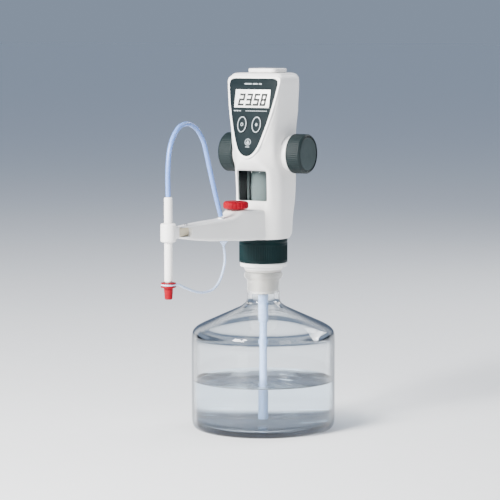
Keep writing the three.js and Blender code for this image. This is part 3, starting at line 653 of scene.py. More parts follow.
# ---- bottle and liquid

_, (bottle_radius, _, bottle_top) = limits("bottle")
CORNER = 9
WALL = 3
SHOULDER = 116
NECK = 18.7
NECK_FROM = 150
JOINT_TOP, JOINT_BOTTOM = 14.6, 13.0
PUNT = 2.4
BASE = 7.5
LEVEL = 57.0
TURN_SIDES = 144
CORNER_STEPS = 6
OVERLAP = 0.06  # the liquid reaches this far into the glass, so that no gap shows


def bottle_inside():
    """The bottle's inner profile from the rim down to the middle of its floor."""
    inner = bottle_radius - WALL
    return [
        (JOINT_TOP, bottle_top - 1.2), (JOINT_BOTTOM, NECK_FROM + 2),
        (JOINT_BOTTOM + 1.2, NECK_FROM - 3),
        (NECK + 3, NECK_FROM - 8.5), (inner - 9, SHOULDER + 0.5), (inner - 1, SHOULDER - 7),
        (inner, SHOULDER - 14),
        (inner, BASE + CORNER + 2), (inner - 1.5, BASE + 3.5), (inner - CORNER, BASE), (0, BASE + PUNT),
    ]


def bottle_outside():
    """The bottle's outer profile from the middle of its underside up to the rim."""
    wall, rim = bottle_radius, bottle_top
    return [
        (0, PUNT), (wall - 26, PUNT * 0.9), (wall - 16, 0), (wall - CORNER, 0), (wall - 2.2, 2.4),
        (wall, CORNER + 1), (wall, SHOULDER - 9), (wall - 1.2, SHOULDER - 1), (wall - 8, SHOULDER + 4.8),
        (NECK + 8, NECK_FROM - 7.5), (NECK + 1, NECK_FROM - 2.5), (NECK, NECK_FROM + 4), (NECK, rim - 9),
        (NECK + 2.6, rim - 7), (NECK + 3.6, rim - 5), (NECK + 3.6, rim - 2), (NECK + 2, rim),
        (JOINT_TOP + 1.2, rim),
    ]


def glass_corner(point):
    """Corners low on the wall and at the shoulder are generous, and those at the rim small."""
    return 9 if point[1] < NECK_FROM - 12 else 2.4


profile = softened(bottle_outside() + bottle_inside(), glass_corner, CORNER_STEPS)
bottle = lathe("bottle_body", profile, TURN_SIDES, sharp=80)
bottle.visible_shadow = False  # light reaches what stands inside, as it does through real glass
dress(bottle, BOTTLE_GLASS, "bottle", "bottle")

wet = softened(bottle_inside(), glass_corner, CORNER_STEPS)
wet = [(r + OVERLAP if r else 0, z - OVERLAP) for r, z in wet if z < LEVEL]
wall_radius = bottle_radius - WALL + OVERLAP
surface = [(r, LEVEL) for r in range(0, int(wall_radius) - 5, 2)]
surface += [(wall_radius - 5, LEVEL), (wall_radius - 2, LEVEL + 0.4), (wall_radius, LEVEL + 2.2)]
liquid = lathe("liquid", surface + wet, TURN_SIDES, sharp=80)
for vertex in liquid.data.vertices:  # small ripples, which fade out towards the wall
    x, y, z = (c / MM for c in vertex.co)
    inward = min(1, max(0, (wall_radius - 4 - math.hypot(x, y)) / 12))
    if abs(z - LEVEL) < 0.01 and inward > 0:
        swell = math.sin(x / 8 + 1.3 * math.sin(y / 13)) + 0.7 * math.sin(y / 5.5 + x / 21)
        vertex.co.z += (0.22 * swell + 0.18 * math.sin((x + 2 * y) / 9)) * inward * MM
dress(liquid, WATER, "bottle")


def pipe_profile(inner, outer, low, high, edge=0.3):
    """The closed profile of a round pipe."""
    corners = [(inner, low), (outer, low), (outer, high), (inner, high)]
    return softened(corners, edge, 3, closed=True)


for name, node, bore, body in (
    ("suction_tube_end", "suction_tube_lower", 3, "suction_tube"),
    ("suction_tube_top", "suction_tube_upper", 4.8, "head"),
):
    low, high = limits(node)
    pipe = lathe(name, pipe_profile(bore, high[0], low[2], high[2]), 40)
    dress(pipe, SUCTION, body, node)

# ---- joint adapter and mounting ring

(_, _, cone_bottom), (flange_radius, _, collar_top) = limits("joint_adapter")
ring_low, ring_high = limits("mounting_ring")
flange_top = ring_low[2] - 0.3
FLANGE_UNDER = 189.6
ADAPTER_BORE = 7.0
adapter = softened(
    [
        (ADAPTER_BORE, cone_bottom), (13.1, cone_bottom), (14.2, bottle_top), (14.2, bottle_top + 0.3),
        (20.6, bottle_top + 0.3), (21.4, bottle_top + 2.6), (23.2, FLANGE_UNDER - 1.2),
        (24.4, FLANGE_UNDER),
        (flange_radius, FLANGE_UNDER), (flange_radius, flange_top), (20, flange_top), (20, collar_top),
        (17, collar_top), (17, flange_top - 3), (ADAPTER_BORE, flange_top - 3),
    ],
    0.9, 4, closed=True,
)
dress(lathe("adapter_body", adapter, 96), ADAPTER, "head", "joint_adapter")

RIBS = 84
RIB_DEPTH = 0.45
RING_BORE = 22.8
ring_radius = ring_high[0]


def ring_ribs(r, z, angle):
    """Shallow grip ribs on the middle of the mounting ring."""
    if r < ring_radius - 0.9 or not ring_low[2] + 3.2 < z < ring_high[2] - 7:
        return r
    return r - RIB_DEPTH * (0.5 - 0.5 * math.cos(RIBS * angle))


low, high = ring_low[2], ring_high[2]
ring_profile = [(RING_BORE, low), (ring_radius, low)]
ring_profile += [(ring_radius, low + 3 + 0.5 * n) for n in range(2)]
ring_profile += [(ring_radius, high - 7.5 + 0.5 * n) for n in range(2)]
ring_profile += [
    (ring_radius, high - 4.4), (ring_radius - 0.5, high - 4), (ring_radius - 0.5, high - 3.4),
    (ring_radius, high - 3), (ring_radius, high), (RING_BORE, high),
]
ring_profile = softened(ring_profile, 0.35, 2, closed=True)
ring = lathe("mounting_ring_body", ring_profile, RIBS * 6, radius_at=ring_ribs)
dress(ring, RING, "mounting_ring", "mounting_ring")

# ---- display face frame

FACE_FORWARD = 21
FACE_TOP = 406
FACE_SLOPE = 0.2107
face_angle = math.atan(FACE_SLOPE)
FACE = Matrix(
    (
        (1, 0, 0, 0),
        (0, math.sin(face_angle), -math.cos(face_angle), -FACE_FORWARD),
        (0, math.cos(face_angle), math.sin(face_angle), FACE_TOP),
        (0, 0, 0, 1),
    )
)
BEZEL = 3.3
RECESS = 1.5


def fascia_outline(grow, steps=14):
    """The shield outline of the fascia grown all round, in the face's plane, anticlockwise."""
    half, corner, tip = 31.4 + grow, 7.5, -89.6 - grow
    side = (15.1 + grow * 0.95, -74 - grow * 0.3)
    right = [(0, grow), (half - corner, grow)]
    right += bowed((half - corner, grow), (half + 0.8, grow), (half, grow - corner), steps)[1:]
    right += bowed((half, grow - corner), (26.5 + grow, -41), side, steps)[1:]
    right += bowed(side, (side[0] * 0.62, tip), (0, tip), steps)[1:]
    left = [(-x, y) for x, y in reversed(right[1:-1])]
    return list(reversed(right + left))


# ---- housing

SHELL = 2.4
SPLIT_Y = 9.5
SEAM = 0.05
# Height, forward reach and half-width of the front face, forward reach of the side's front edge,
# greatest half-width, aft start of the rear curve, half-width and reach of the back, corner rounding.
HOUSING_SECTIONS = [
    (222.3, 28.5, 12, 12, 28, 15, 14, 28.5, 9),
    (226.3, 28.4, 12.8, 12.4, 28.6, 20, 16, 29.5, 9),
    (245, 27, 17, 14, 29.3, 21, 17, 31, 8),
    (268, 25.4, 21.7, 10, 29.6, 25, 17.5, 34, 5),
    (300, 28, 21.7, 12, 29.2, 27.5, 17.5, 35, 5),
    (308, 34.4, 16, 18, 28.8, 27.5, 17.5, 35, 6),
    (315, 38.6, 11, 21, 28.4, 27.5, 17.5, 35, 6),
    (322, 38.7, 11.5, 23, 28.3, 27.5, 17.5, 35, 5),
    (335, 36, 18.7, 24, 28.5, 27.5, 17.5, 35, 4),
    (352, 32.4, 24.5, 22, 29.8, 27, 18, 35, 4),
    (366, 29.4, 28, 19.5, 31.7, 27, 20.5, 35, 5),
    (380, 26.5, 31.5, 17, 33.2, 25.5, 22, 35, 5),
    (404, 21.4, 34.2, 12, 34.7, 24.5, 24, 35, 6),
    (409.6, 18.8, 32.2, 11, 33, 23.5, 23, 32.8, 7),
    (411.7, 16.4, 29.6, 9, 30.4, 21, 20.5, 29.8, 7),
    (412.2, 14.5, 27.5, 8, 28.4, 19, 19, 28, 7),
]


def steady_slope(before, here_now, after, k):
    """The slope of value k at a section, or 0 at its peaks and dips, so that it never overshoots."""
    rise = (here_now[k] - before[k]) / (here_now[0] - before[0])
    next_rise = (after[k] - here_now[k]) / (after[0] - here_now[0])
    return 0.0 if rise * next_rise <= 0 else 2 * rise * next_rise / (rise + next_rise)


def blended_sections(per_step):
    """The housing's sections with more between them, each value following a smooth curve."""
    sections = HOUSING_SECTIONS
    flat = [0.0] * 9
    slopes = [flat]
    for before, middle, after in zip(sections, sections[1:], sections[2:]):
        slopes.append([0.0] + [steady_slope(before, middle, after, k) for k in range(1, 9)])
    slopes.append(flat)
    out = []
    for i, (a, b) in enumerate(zip(sections, sections[1:])):
        step = b[0] - a[0]
        count = max(2, min(per_step, round(step / 2.2)))
        for n in range(count):
            t = n / count
            row = []
            for k in range(9):
                if k == 0 or 318 < a[0] < 400 and k == 1:  # the display's slope is straight
                    row.append(a[k] + (b[k] - a[k]) * t)
                else:
                    row.append(curved(a[k], b[k], slopes[i][k], slopes[i + 1][k], step, t))
            out.append(tuple(row))
    out.append(sections[-1])
    return out


def housing_ring(section, inset):
    """One level outline of the housing, drawn in by inset."""
    z, front, front_half, side_front, half, side_back, back_half, back, corner = section
    outline = [
        (front_half - inset * 0.6, -front + inset), (half - inset, -side_front),
        (half - inset, side_back), (back_half - inset * 0.4, back - inset),
    ]
    whole = outline + [(-x, y) for x, y in reversed(outline)]
    return [Vector((x, y, z)) for x, y in softened(whole, corner * 1.25, 6, closed=True)[:-1]]


def housing_loft(name, inset):
    """The housing's outer form, or its hollow if inset."""
    rings = [housing_ring(section, inset) for section in blended_sections(12)]
    if inset:
        rings[0] = [p - Vector((0, 0, 1)) for p in rings[0]]
        for ring_points in rings:
            for p in ring_points:
                p.z = min(p.z, HOUSING_SECTIONS[-1][0] - inset)
    return lofted(name, rings, 30)


AXLE_Y, AXLE_Z = 9.5, 320
BOSS_RADIUS, BOSS_FROM, BOSS_TO = 20.5, 22, 35.3
WINDOW_HALF, WINDOW_LOW, WINDOW_HIGH = 19.2, 266.4, 300.8


def drum(name, radius, low, high, edge=0.6, place=None, sides=72):
    """A round bar about Z with eased ends."""
    corners = [(0, low), (radius, low), (radius, high), (0, high)]
    return lathe(name, softened(corners, edge, 4), sides, place)


def window_cutter():
    """The window's opening, wider towards the outside so that its edge is eased."""
    outline = rounded_rectangle(-WINDOW_HALF, WINDOW_LOW, WINDOW_HALF, WINDOW_HIGH, 2.2, 5)
    rings = []
    for forward, grow in ((14, -0.2), (24.6, -0.2), (26.2, 0.2), (32, 3.0)):
        rings.append([Vector((x, -forward, z)) for x, z in grown(outline, grow)])
    return lofted("window_cutter", rings)


def housing_whole():
    """Both halves of the housing as one, with the bezel, the bosses and every opening."""
    body = housing_loft("housing", 0)
    bezel = fascia_outline(BEZEL)
    levels = ((-6, -1.5), (-2.5, 0), (-0.7, 0), (0.1, -0.45), (0.45, -1.3), (0.3, -2.2))
    rings = [[FACE @ Vector((x, y, z)) for x, y in grown(bezel, grow)] for z, grow in levels]
    boolean(body, lofted("bezel", rings), "UNION")
    for side in (-1, 1):
        ends = sorted((side * BOSS_FROM, side * BOSS_TO))
        boolean(body, drum("boss", BOSS_RADIUS, *ends, 1.6, along_x(AXLE_Y, AXLE_Z)), "UNION")
    boolean(body, housing_loft("hollow", SHELL))
    reach = BOSS_TO - 2.5
    boolean(body, drum("boss_hollow", BOSS_RADIUS - 2.5, -reach, reach, 0.2, along_x(AXLE_Y, AXLE_Z)))
    boolean(body, drum("axle_hole", 4, -60, 60, 0.1, along_x(AXLE_Y, AXLE_Z), 32))
    boolean(body, prism("fascia_seat", fascia_outline(0.25), -RECESS, 5, FACE))
    boolean(body, prism("face_opening", fascia_outline(-4), -12, 4, FACE))
    boolean(body, window_cutter())
    boolean(body, drum("outlet", 6, -40, -16, 0.1, along_y(0, 236), 32))
    door_low, door_high = limits("battery_door")
    room_low = (door_low[0] - 0.3, 18, door_low[2] - 0.3)
    room_high = (door_high[0] + 0.3, 40, door_high[2] + 0.3)
    room = rounded_box("door_room", room_low, room_high, 0.4, 0.1)
    boolean(body, room)
    for n in range(1, 5):
        low, high = limits(f"housing_screw_{n}")
        x, z = (low[0] + high[0]) / 2, (low[2] + high[2]) / 2
        boolean(body, drum("screw_seat", 2.8, 16.9, 40, 0.1, along_y(x, z), 24))
    return body


def housing_halves():
    """The housing split into its front and rear shells."""
    whole = housing_whole()
    halves = []
    for name, y0, y1 in (
        ("housing_front_shell", -90, SPLIT_Y - SEAM / 2),
        ("housing_rear_shell", SPLIT_Y + SEAM / 2, 90),
    ):
        half = whole.copy()
        half.data = whole.data.copy()
        half.name = name
        bpy.context.scene.collection.objects.link(half)
        keep = rounded_box("keep", (-90, y0, 200), (90, y1, 440), 0.01, 0)
        boolean(half, keep, "INTERSECT")
        halves.append(settle(half, 32))
    bpy.data.objects.remove(whole)
    return halves


front_shell, rear_shell = housing_halves()
dress(front_shell, WHITE, "head", "housing_front")
dress(rear_shell, WHITE, "head", "housing_rear")

cover_low, cover_high = limits("top_cover")
cover = rounded_box("top_cover_plate", cover_low, cover_high, 7, 1.5)
dress(cover, WHITE, "head", "top_cover")

door_low, door_high = limits("battery_door")
panels = [rounded_box("battery_door_panel", door_low, door_high, 0.5, 0.4)]
for n in range(4):
    bottom = door_high[2] - 12 + 2.4 * n
    grip_low = (-8, door_high[1] - 0.1, bottom)
    grip_high = (8, door_high[1] + 0.5, bottom + 1)
    panels.append(rounded_box("grip", grip_low, grip_high, 0.3, 0.3))
dress(joined("battery_door_cover", panels), WHITE, "battery_door", "battery_door")

# ---- fascia, screen and keys

LCD_WIDTH, LCD_HEIGHT, LCD_DOWN = 46.2, 21.5, 23.1
KEY_X, KEY_DOWN, KEY_HALF = 9.5, 53.2, (6.7, 10)


def oval(half_x, half_y, x, y, sides=56):
    """The outline of an oval round a centre."""
    turn = [2 * math.pi * i / sides for i in range(sides)]
    return [(x + half_x * math.cos(a), y + half_y * math.sin(a)) for a in turn]


def rectangle(width, height, x, y, corner=0.6):
    """The outline of a rectangle round a centre."""
    return rounded_rectangle(x - width / 2, y - height / 2, x + width / 2, y + height / 2, corner)


fascia = prism("fascia_plate", fascia_outline(0), -1.2, 0, FACE, edge=0.25)
boolean(fascia, prism("hole", rectangle(LCD_WIDTH, LCD_HEIGHT, 0, -LCD_DOWN), -5, 5, FACE))
for side in (-1, 1):
    boolean(fascia, prism("hole", oval(KEY_HALF[0], KEY_HALF[1], side * KEY_X, -KEY_DOWN), -5, 5, FACE))
dress(settle(fascia, 30), SLATE, "head", "display_fascia")

screen_outline = rectangle(LCD_WIDTH - 0.5, LCD_HEIGHT - 0.5, 0, -LCD_DOWN)
screen = prism("lcd_screen", screen_outline, -7.8, -0.35, FACE, edge=0.2)
dress(screen, SCREEN, "head", "lcd_module")

# Seven-segment digits: which of top, top right, bottom right, bottom, bottom left, top left, middle are lit.
DIGITS = {"2": "abged", "3": "abgcd", "5": "afgcd", "8": "abcdefg"}
DIGIT_WIDTH, DIGIT_HEIGHT, STROKE, LEAN = 7.6, 14.2, 2.5, 0.14
READING = (("2", -13.6), ("3", -3.8), ("5", 5.8), ("8", 14.9))
POINT_X, POINT_SIZE = -0.4, 1.6
# Low and high face of what is drawn on the screen, on the fascia and on the keys.
ON_SCREEN = (-0.33, -0.27)
ON_FASCIA = (-0.02, 0.05)
ON_KEY = (0.78, 0.86)


def segment(name):
    """One bar of a digit, as points about the digit's centre."""
    w, h, s = DIGIT_WIDTH / 2, DIGIT_HEIGHT / 2, STROKE / 2
    if name in "adg":
        y = {"a": h - s, "d": -h + s, "g": 0}[name]
        return [(-w, y - s), (w, y - s), (w, y + s), (-w, y + s)]
    x = w - s if name in "bc" else -w + s
    low, high = (0, h) if name in "bf" else (-h, 0)
    return [(x - s, low), (x + s, low), (x + s, high), (x - s, high)]


digits = []
digit_centre = -LCD_DOWN - 1.3
for figure, centre in READING:
    for bar in DIGITS[figure]:
        outline = [(centre + x + LEAN * y, digit_centre + y) for x, y in segment(bar)]
        digits.append(prism("bar", outline, *ON_SCREEN, FACE))
point_y = digit_centre - DIGIT_HEIGHT / 2 + 0.8
point = rectangle(POINT_SIZE, POINT_SIZE, POINT_X, point_y, 0.3)
digits.append(prism("point", point, *ON_SCREEN, FACE))
dress(joined("lcd_digits", digits), SEGMENT, "head")


def drop(x, y, size):
    """The outline of a falling drop."""
    tip, wide = y + size * 1.9, y + size * 0.9
    right = bowed((x, tip), (x + size * 0.35, wide), (x + size, y), 8)
    turn = [-math.pi * n / 16 for n in range(1, 16)]
    round_part = [(x + size * math.cos(a), y + size * math.sin(a)) for a in turn]
    left = bowed((x - size, y), (x - size * 0.35, wide), (x, tip), 8)
    return list(reversed(right + round_part + left[:-1]))


def annulus(name, outer, inner, low, high, place):
    """A flat ring between two outlines of equal count."""
    rings = [(outer, low), (outer, high), (inner, high), (inner, low)]
    points = [place @ Vector((x, y, z)) for outline, z in rings for x, y in outline]
    count = len(outer)
    faces = []
    for r in range(4):
        for i in range(count):
            j, s = (i + 1) % count, (r + 1) % 4
            faces.append((r * count + i, r * count + j, s * count + j, s * count + i))
    return mesh_object(name, points, faces)


# Plain bars and a ring with a drop, in place of any lettering.
marks = [rectangle(width, 1.5, x, -6.2, 0.5) for width, x in ((9.5, -7.2), (6.5, 2.2), (4, 8.8))]
marks += [rectangle(2.6, 1.1, -21 + 3.3 * n, -37.4, 0.3) for n in range(3)]
marks += [rectangle(1.9, 0.9, -6.0 + 2.6 * n, -37.4, 0.3) for n in range(11)]
marks += [rectangle(5.2, 0.9, 0.3, -78.9, 0.3), drop(0.3, -73.9, 1.9)]
prints = [prism("mark", outline, *ON_FASCIA, FACE) for outline in marks]
emblem = [oval(radius, radius, 0.3, -73.3) for radius in (3.9, 3.1)]
prints.append(annulus("emblem", *emblem, *ON_FASCIA, FACE))
dress(joined("fascia_print", prints), PRINT, "head")

for name, side in (("power", -1), ("clear", 1)):
    x = side * KEY_X
    cap = prism(f"key_{name}_cap", oval(6.4, 9.7, x, -KEY_DOWN), -3.8, 0.8, FACE, edge=0.5)
    dress(cap, SLATE, f"key_{name}", f"key_{name}")
    around, inside = oval(5.9, 9.2, x, -KEY_DOWN), oval(4.9, 8.1, x, -KEY_DOWN)
    dress(annulus(f"key_{name}_ring", around, inside, *ON_KEY, FACE), PRINT, f"key_{name}")
    if side < 0:
        around, inside = oval(1.7, 2.0, x, -KEY_DOWN), oval(1.0, 1.2, x, -KEY_DOWN)
        dot = annulus("power_mark", around, inside, *ON_KEY, FACE)
    else:
        dot = prism("clear_mark", oval(1.5, 1.8, x, -KEY_DOWN), *ON_KEY, FACE)
    dress(dot, PRINT, f"key_{name}")

# ---- window and what shows behind it

pane_low, pane_high = limits("window_pane")
outline = rounded_rectangle(pane_low[0], pane_low[2], pane_high[0], pane_high[2], 2)
UPRIGHT = Matrix(((1, 0, 0, 0), (0, 0, -1, 0), (0, 1, 0, 0), (0, 0, 0, 1)))
pane = prism("window_glass", outline, -pane_high[1], -pane_low[1], UPRIGHT, edge=0.3)
pane.visible_shadow = False
dress(pane, PANE, "head", "window_pane")

# painted shade: black sheets beside the window's opening and a black sill below it, dark stand-ins for the
# shadow inside the opening
SHADE_SHEET_FRONT, SHADE_SHEET_BACK, SHADE_SHEET_DROP = -21.5, 14.5, 5
for name, side in (("left", -1), ("right", 1)):
    x0, x1 = sorted((side * (WINDOW_HALF + 0.8), side * (WINDOW_HALF + 1.8)))
    shade_sheet_low = (x0, SHADE_SHEET_FRONT, WINDOW_LOW - SHADE_SHEET_DROP)
    shade_sheet_high = (x1, SHADE_SHEET_BACK, WINDOW_HIGH + 4)
    dress(rounded_box(f"window_shade_sheet_{name}", shade_sheet_low, shade_sheet_high, 0.3, 0.2), BLACK, "head")
shade_sill_low = (-19, SHADE_SHEET_FRONT, WINDOW_LOW - SHADE_SHEET_DROP)
shade_sill = rounded_box("window_shade_sill", shade_sill_low, (19, -14.6, WINDOW_LOW - 3.6), 0.3, 0.2)
dress(shade_sill, BLACK, "head")

barrel_low, barrel_high = limits("glass_cylinder")
barrel = lathe("metering_cylinder", pipe_profile(12, 14, barrel_low[2], barrel_high[2], 0.5), 72)
barrel.visible_shadow = False
dress(barrel, BARREL, "head", "glass_cylinder")
piston_low, piston_high = limits("piston_head")
seal_radius, seal_low, seal_high = piston_high[0], piston_low[2], piston_high[2]
piston = [
    (0, seal_low), (seal_radius - 0.6, seal_low), (seal_radius, seal_low + 1.2),
    (seal_radius - 0.7, seal_low + 2.2), (seal_radius - 0.7, seal_high - 2.2),
    (seal_radius, seal_high - 1.2), (seal_radius - 0.6, seal_high), (0, seal_high),
]
seal = lathe("piston_seal", softened(piston, 0.3, 3), 64)
dress(seal, NATURAL, "piston", "piston_head")

# ---- hand wheels

WHEEL_RIBS = 60
WHEEL_RIB_DEPTH = 0.32
for name, side in (("left", -1), ("right", 1)):
    low, high = limits(f"handwheel_{name}")
    near, far = (low[0], high[0]) if side > 0 else (-high[0], -low[0])
    radius = (high[2] - low[2]) / 2

    def wheel_ribs(r, z, angle, radius=radius, near=near, far=far):
        """Shallow ribs round the wheel's grip."""
        if r < radius - 0.5 or not near + 2.4 < z < far - 3.2:
            return r
        return r - WHEEL_RIB_DEPTH * (0.5 - 0.5 * math.cos(WHEEL_RIBS * angle))

    profile = [
        (3.3, near), (radius - 1, near), (radius, near + 1), (radius, near + 2.2), (radius, near + 2.8),
        (radius, far - 3.6), (radius, far - 3), (radius, far - 2.2), (radius - 1.8, far),
        (radius - 2.9, far),
        (radius - 3.3, far - 0.9), (radius - 3.3, far - 1.9), (3.3, far - 1.9),
    ]
    turn = along_x(AXLE_Y, AXLE_Z, side)
    profile = softened(profile, 0.4, 3, closed=True)
    wheel = lathe(f"wheel_{name}", profile, WHEEL_RIBS * 6, turn, wheel_ribs)
    dress(wheel, WHEEL, "handwheels", f"handwheel_{name}")
    disc = radius - 3.5
    cap_profile = [
        (0, far - 1.8), (disc, far - 1.8), (disc, far - 0.7), (disc - 1, far - 0.35),
        (disc * 0.5, far - 0.6), (0, far - 0.7),
    ]
    cap = lathe(f"wheel_cap_{name}", softened(cap_profile, 0.4, 3), 96, turn)
    dress(cap, WHEEL_FACE, "handwheels", f"handwheel_cap_{name}")

# ---- arm, knob, rod and tube

# Forward reach, underside, top, half-width.
ARM_SECTIONS = [
    (20, 222.7, 257.3, 17.5), (34, 222.9, 257.6, 16), (50, 223.4, 258.8, 14.6),
    (66, 224.3, 259.0, 12.9),
    (78, 225.3, 254.2, 11.6), (92, 226.4, 251.2, 10.8), (126, 228.6, 250.6, 9.8),
    (160, 232.6, 249.8, 8.4),
    (177, 235.3, 249.0, 7.4), (184, 237.2, 248.2, 5.6),
]
ROD_Z, ROD_HALF = 243, 5.3
TIP_WINDOW = 169  # the arm's sides are open from here to its tip, and show the rod


def arm_ring(section):
    """One upright outline of the arm."""
    forward, low, high, half = section
    corners = [(half, low), (half, high), (-half, high), (-half, low)]
    soft = softened(corners, min(half * 0.42, 4.6), 6, closed=True)[:-1]
    return [Vector((x, -forward, z)) for x, z in soft]


def arm_between(steps):
    """The arm's sections with smooth ones between them, and an eased end."""
    out = []
    last = ARM_SECTIONS[-1]
    for i, (a, b) in enumerate(zip(ARM_SECTIONS, ARM_SECTIONS[1:])):
        before = ARM_SECTIONS[max(i - 1, 0)]
        after = ARM_SECTIONS[i + 2] if b != last else last
        step = b[0] - a[0]
        for n in range(steps):
            t = n / steps
            row = [a[0] + step * t]
            for k in (1, 2, 3):
                slope_a = (b[k] - before[k]) / (b[0] - before[0])
                slope_b = (after[k] - a[k]) / (after[0] - a[0])
                row.append(curved(a[k], b[k], slope_a, slope_b, step, t))
            out.append(tuple(row))
    out.append(last)
    out.append((last[0] + 0.8, last[1] + 1.4, last[2] - 0.8, last[3] - 1.4))
    return out


arm = lofted("arm_body", [arm_ring(section) for section in arm_between(5)], 40)
boolean(arm, housing_loft("housing_room", -0.25))
ARM_ROOMS = (  # for the valve and its tube, and for the rod
    ((-7.5, -98, 229), (7.5, -20, 247)),
    ((-3.8, -200, ROD_Z - ROD_HALF), (3.8, -97, ROD_Z + ROD_HALF)),
)
for low, high in ARM_ROOMS:
    boolean(arm, rounded_box("room", low, high, 0.2, 0.05))
rod_bottom, rod_top = ROD_Z - ROD_HALF, ROD_Z + ROD_HALF - 0.6
side_opening = rounded_rectangle(TIP_WINDOW, rod_bottom, 200, rod_top, 3.5, 5)
SIDEWAYS = Matrix(((0, 0, 1, 0), (-1, 0, 0, 0), (0, 1, 0, 0), (0, 0, 0, 1)))
boolean(arm, prism("side_opening", side_opening, -20, 20, SIDEWAYS))
knob_low, knob_high = limits("purge_knob")
knob_forward = -(knob_low[1] + knob_high[1]) / 2
screw_low, screw_high = limits("arm_screw")
screw_forward = -(screw_low[1] + screw_high[1]) / 2
socket_forward = HOSE_ROUTE[0][0]
for radius, low, high, forward in (
    (3.4, 240, 266, knob_forward),
    (3.5, 240, 258, socket_forward),
    (2.3, 246.5, 258, screw_forward),
):
    boolean(arm, drum("hole", radius, low, high, 0.1, at_forward(forward), 32))
dress(settle(arm, 34), WHITE, "head", "arm_housing")

knob_radius = (knob_high[0] - knob_low[0]) / 2
FLUTES = 20


def knob_flutes(r, z, angle):
    """Finger flutes round the purge knob."""
    if r < knob_radius - 1.2:
        return r
    return r - 0.55 * max(0.0, math.cos(FLUTES * angle)) ** 2


low, high = knob_low[2], knob_high[2]
knob_profile = [
    (0, low), (knob_radius - 1.6, low), (knob_radius, low + 1.4), (knob_radius, high - 2),
    (knob_radius - 1.8, high), (knob_radius - 4.6, high), (knob_radius - 5.4, high - 0.8), (0, high - 0.8),
]
knob_profile = softened(knob_profile, 0.9, 4)
knob = lathe("purge_knob_cap", knob_profile, FLUTES * 8, at_forward(knob_forward), knob_flutes)
grip_low = (-1.6, -knob_forward - knob_radius + 6, knob_high[2] - 1.4)
grip_high = (1.6, -knob_forward + knob_radius - 6, knob_high[2] - 0.1)
grip = rounded_box("grip", grip_low, grip_high, 1.2, 0.5)
dress(joined("purge_knob_body", [knob, grip]), RED, "purge_knob", "purge_knob")

socket = softened([(0, 246), (3.1, 246), (3.1, 251.6), (3.0, 252.3), (0, 252.3)], 0.4, 3)
ferrule = lathe("hose_ferrule", socket, 40, at_forward(socket_forward))
dress(ferrule, NATURAL, "head", "hose_socket")

rod_low, rod_high = limits("extension_rod")
SIDE_BAR = Matrix(((1, 0, 0, 0), (0, 0, 1, 0), (0, 1, 0, 0), (0, 0, 0, 1)))
rod_outline = rounded_rectangle(rod_low[0], rod_low[2], rod_high[0], rod_high[2], 1.4)
bar = prism("rod_bar", rod_outline, rod_low[1], rod_high[1], SIDE_BAR, edge=0.4, both=True)
dress(bar, BEIGE, "extension", "extension_rod")

TUBE_FORWARD = 204.5
CLAMP_BORE, TUBE_BORE, CAP_BORE, CAP_FLOOR = 5, 2.8, 2.9, 174
LOOP_BORE, LOOP_RADIUS = 6.3, 8.0
at_tube = at_forward(TUBE_FORWARD)
(_, _, low), (radius, _, high) = limits("tube_clamp")
clamp_profile = [
    (CLAMP_BORE, low), (radius - 0.9, low), (radius, low + 1.2), (radius, high - 1.6),
    (radius - 1.3, high), (CLAMP_BORE, high),
]
clamp = lathe("clamp", softened(clamp_profile, 0.7, 4, closed=True), 80, at_tube)
boss = rounded_box("boss", (-4.4, -198, 236.6), (4.4, -188, 249.4), 1.8, 0.8)
boolean(boss, drum("inside", 7.5, 230, 260, 0.1, at_tube))
boolean(clamp, boss, "UNION")
dress(settle(clamp, 34), WHITE, "extension", "tube_clamp")

(left, _, low), (right, _, high) = limits("titrating_tube")
radius = (right - left) / 2
tube_profile = [
    (TUBE_BORE, low), (radius - 0.8, low), (radius, low + 1.6), (radius, high - 1),
    (radius - 0.8, high), (TUBE_BORE, high),
]
tube = lathe("tube_body", softened(tube_profile, 0.5, 4, closed=True), 56, at_tube)
dress(tube, WHITE, "titrating_tube", "titrating_tube")

(_, _, low), (_, _, high) = limits("tip_cap")
cap_profile = [
    (0, low), (3.4, low), (4.2, low + 0.9), (5.0, high - 6.6), (5.6, high - 5.4), (8.3, high - 5.2),
    (8.3, high - 3.6), (6, high - 3.6), (6, high - 1.2), (8.3, high - 1.2), (8.3, high),
    (CAP_BORE, high), (CAP_BORE, CAP_FLOOR), (0, CAP_FLOOR),
]
tip_cap = lathe("tip_cap_body", softened(cap_profile, 0.45, 3), 64, at_tube)
dress(tip_cap, RED, "tip_cap", "tip_cap")

(_, _, low), (_, _, high) = limits("tether_ring")
loop = lathe("tether_loop", pipe_profile(LOOP_BORE, LOOP_RADIUS, low, high, 0.5), 56, at_tube)
dress(loop, TETHER, "tip_cap", "tether_ring")

(_, back, low), (_, front, high) = limits("tether_hook")
hook_profile = [(0, low), (1.7, low), (2.0, low + 2.4), (4.4, high - 0.7), (4.6, high), (0, high)]
hook = lathe("tether_anchor", softened(hook_profile, 0.9, 5), 40, at_forward(-(back + front) / 2))
dress(hook, TETHER, "head", "tether_hook")

# ---- CAD nodes that stay

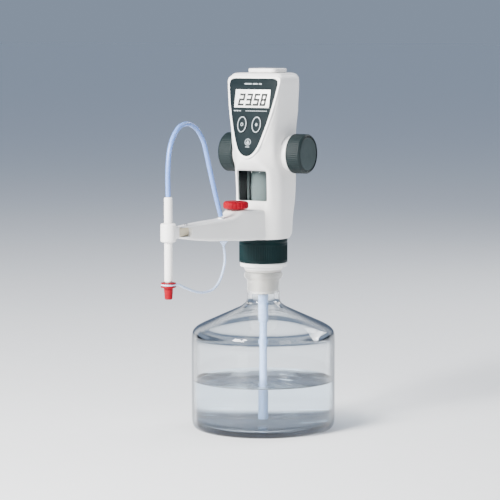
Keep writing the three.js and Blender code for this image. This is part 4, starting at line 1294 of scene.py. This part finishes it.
KEPT = {
    NATURAL: (
        "valve_block", "suction_valve", "purge_spindle", "purge_valve", "discharge_valve", "nozzle_tip",
    ),
    HOSE: ("discharge_tube",),
    RACK: ("piston_rod",),
    BLACK: ("key_switch_power", "key_switch_clear"),
    GREY: ("drive_frame",),
    CELL: ("battery_1", "battery_2"),
    STEEL: (
        "drive_shaft", "housing_screw_1", "housing_screw_2", "housing_screw_3", "housing_screw_4",
        "battery_contact_lower", "battery_contact_upper", "arm_screw",
    ),
    BRASS: ("pinion",),
    BOARD: ("circuit_board",),
    CLEAR: ("valve_ball",),
}
for material, names in KEPT.items():
    for name in names:
        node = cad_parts[name]
        node.data.materials.clear()
        node.data.materials.append(material)

# ---- floor, world and lights

FLOOR_REACH = 60000
FLOOR_Z = -0.2
span = (-FLOOR_REACH, FLOOR_REACH)
corners = [(span[i], span[j], FLOOR_Z) for i, j in ((0, 0), (1, 0), (1, 1), (0, 1))]
floor = mesh_object("floor", corners, [(0, 1, 2, 3)])
FLOOR = plastic("floor_pale", (0.93, 0.935, 0.94), 0.6, vary=0.005, grain=40, relief=0.0, shine=0.1)
floor.data.materials.append(FLOOR)

# The sky is a tenth brighter overhead, so that the far floor, which it lights, meets it without a line.
SKY_LOW = (0.46, 0.57, 0.76)
SKY_HIGH = (0.506, 0.627, 0.836)
SKY_STRENGTH = 0.52
world = bpy.data.worlds.new("studio")
bpy.context.scene.world = world
world.use_nodes = True
sky = world.node_tree
gaze = sky.nodes.new("ShaderNodeTexCoord")
upward = sky.nodes.new("ShaderNodeSeparateXYZ")
sky.links.new(gaze.outputs["Generated"], upward.inputs["Vector"])
shade = mixed(sky, upward.outputs["Z"], SKY_LOW, SKY_HIGH)
sky.links.new(shade, sky.nodes["Background"].inputs["Color"])
sky.nodes["Background"].inputs["Strength"].default_value = SKY_STRENGTH


def lamp(name, place, target, size, power, colour=(1, 1, 1)):
    """A rectangular lamp aimed at a target."""
    data = bpy.data.lights.new(name, "AREA")
    data.shape = "RECTANGLE"
    data.size, data.size_y = size
    data.energy = power
    data.color = colour
    obj = bpy.data.objects.new(name, data)
    obj.location = place
    obj.rotation_euler = (Vector(target) - Vector(place)).to_track_quat("-Z", "Y").to_euler()
    bpy.context.scene.collection.objects.link(obj)


MIDDLE = (0, -0.05, 0.25)
lamp("key", (-0.45, -2.2, 1.35), MIDDLE, (0.9, 1.2), 270, (1.0, 0.985, 0.96))
lamp("fill", (2.2, -1.0, 0.9), MIDDLE, (0.8, 1.4), 11, (1.0, 0.95, 0.88))
lamp("back", (0.7, 1.6, 1.3), MIDDLE, (1.2, 0.8), 24)
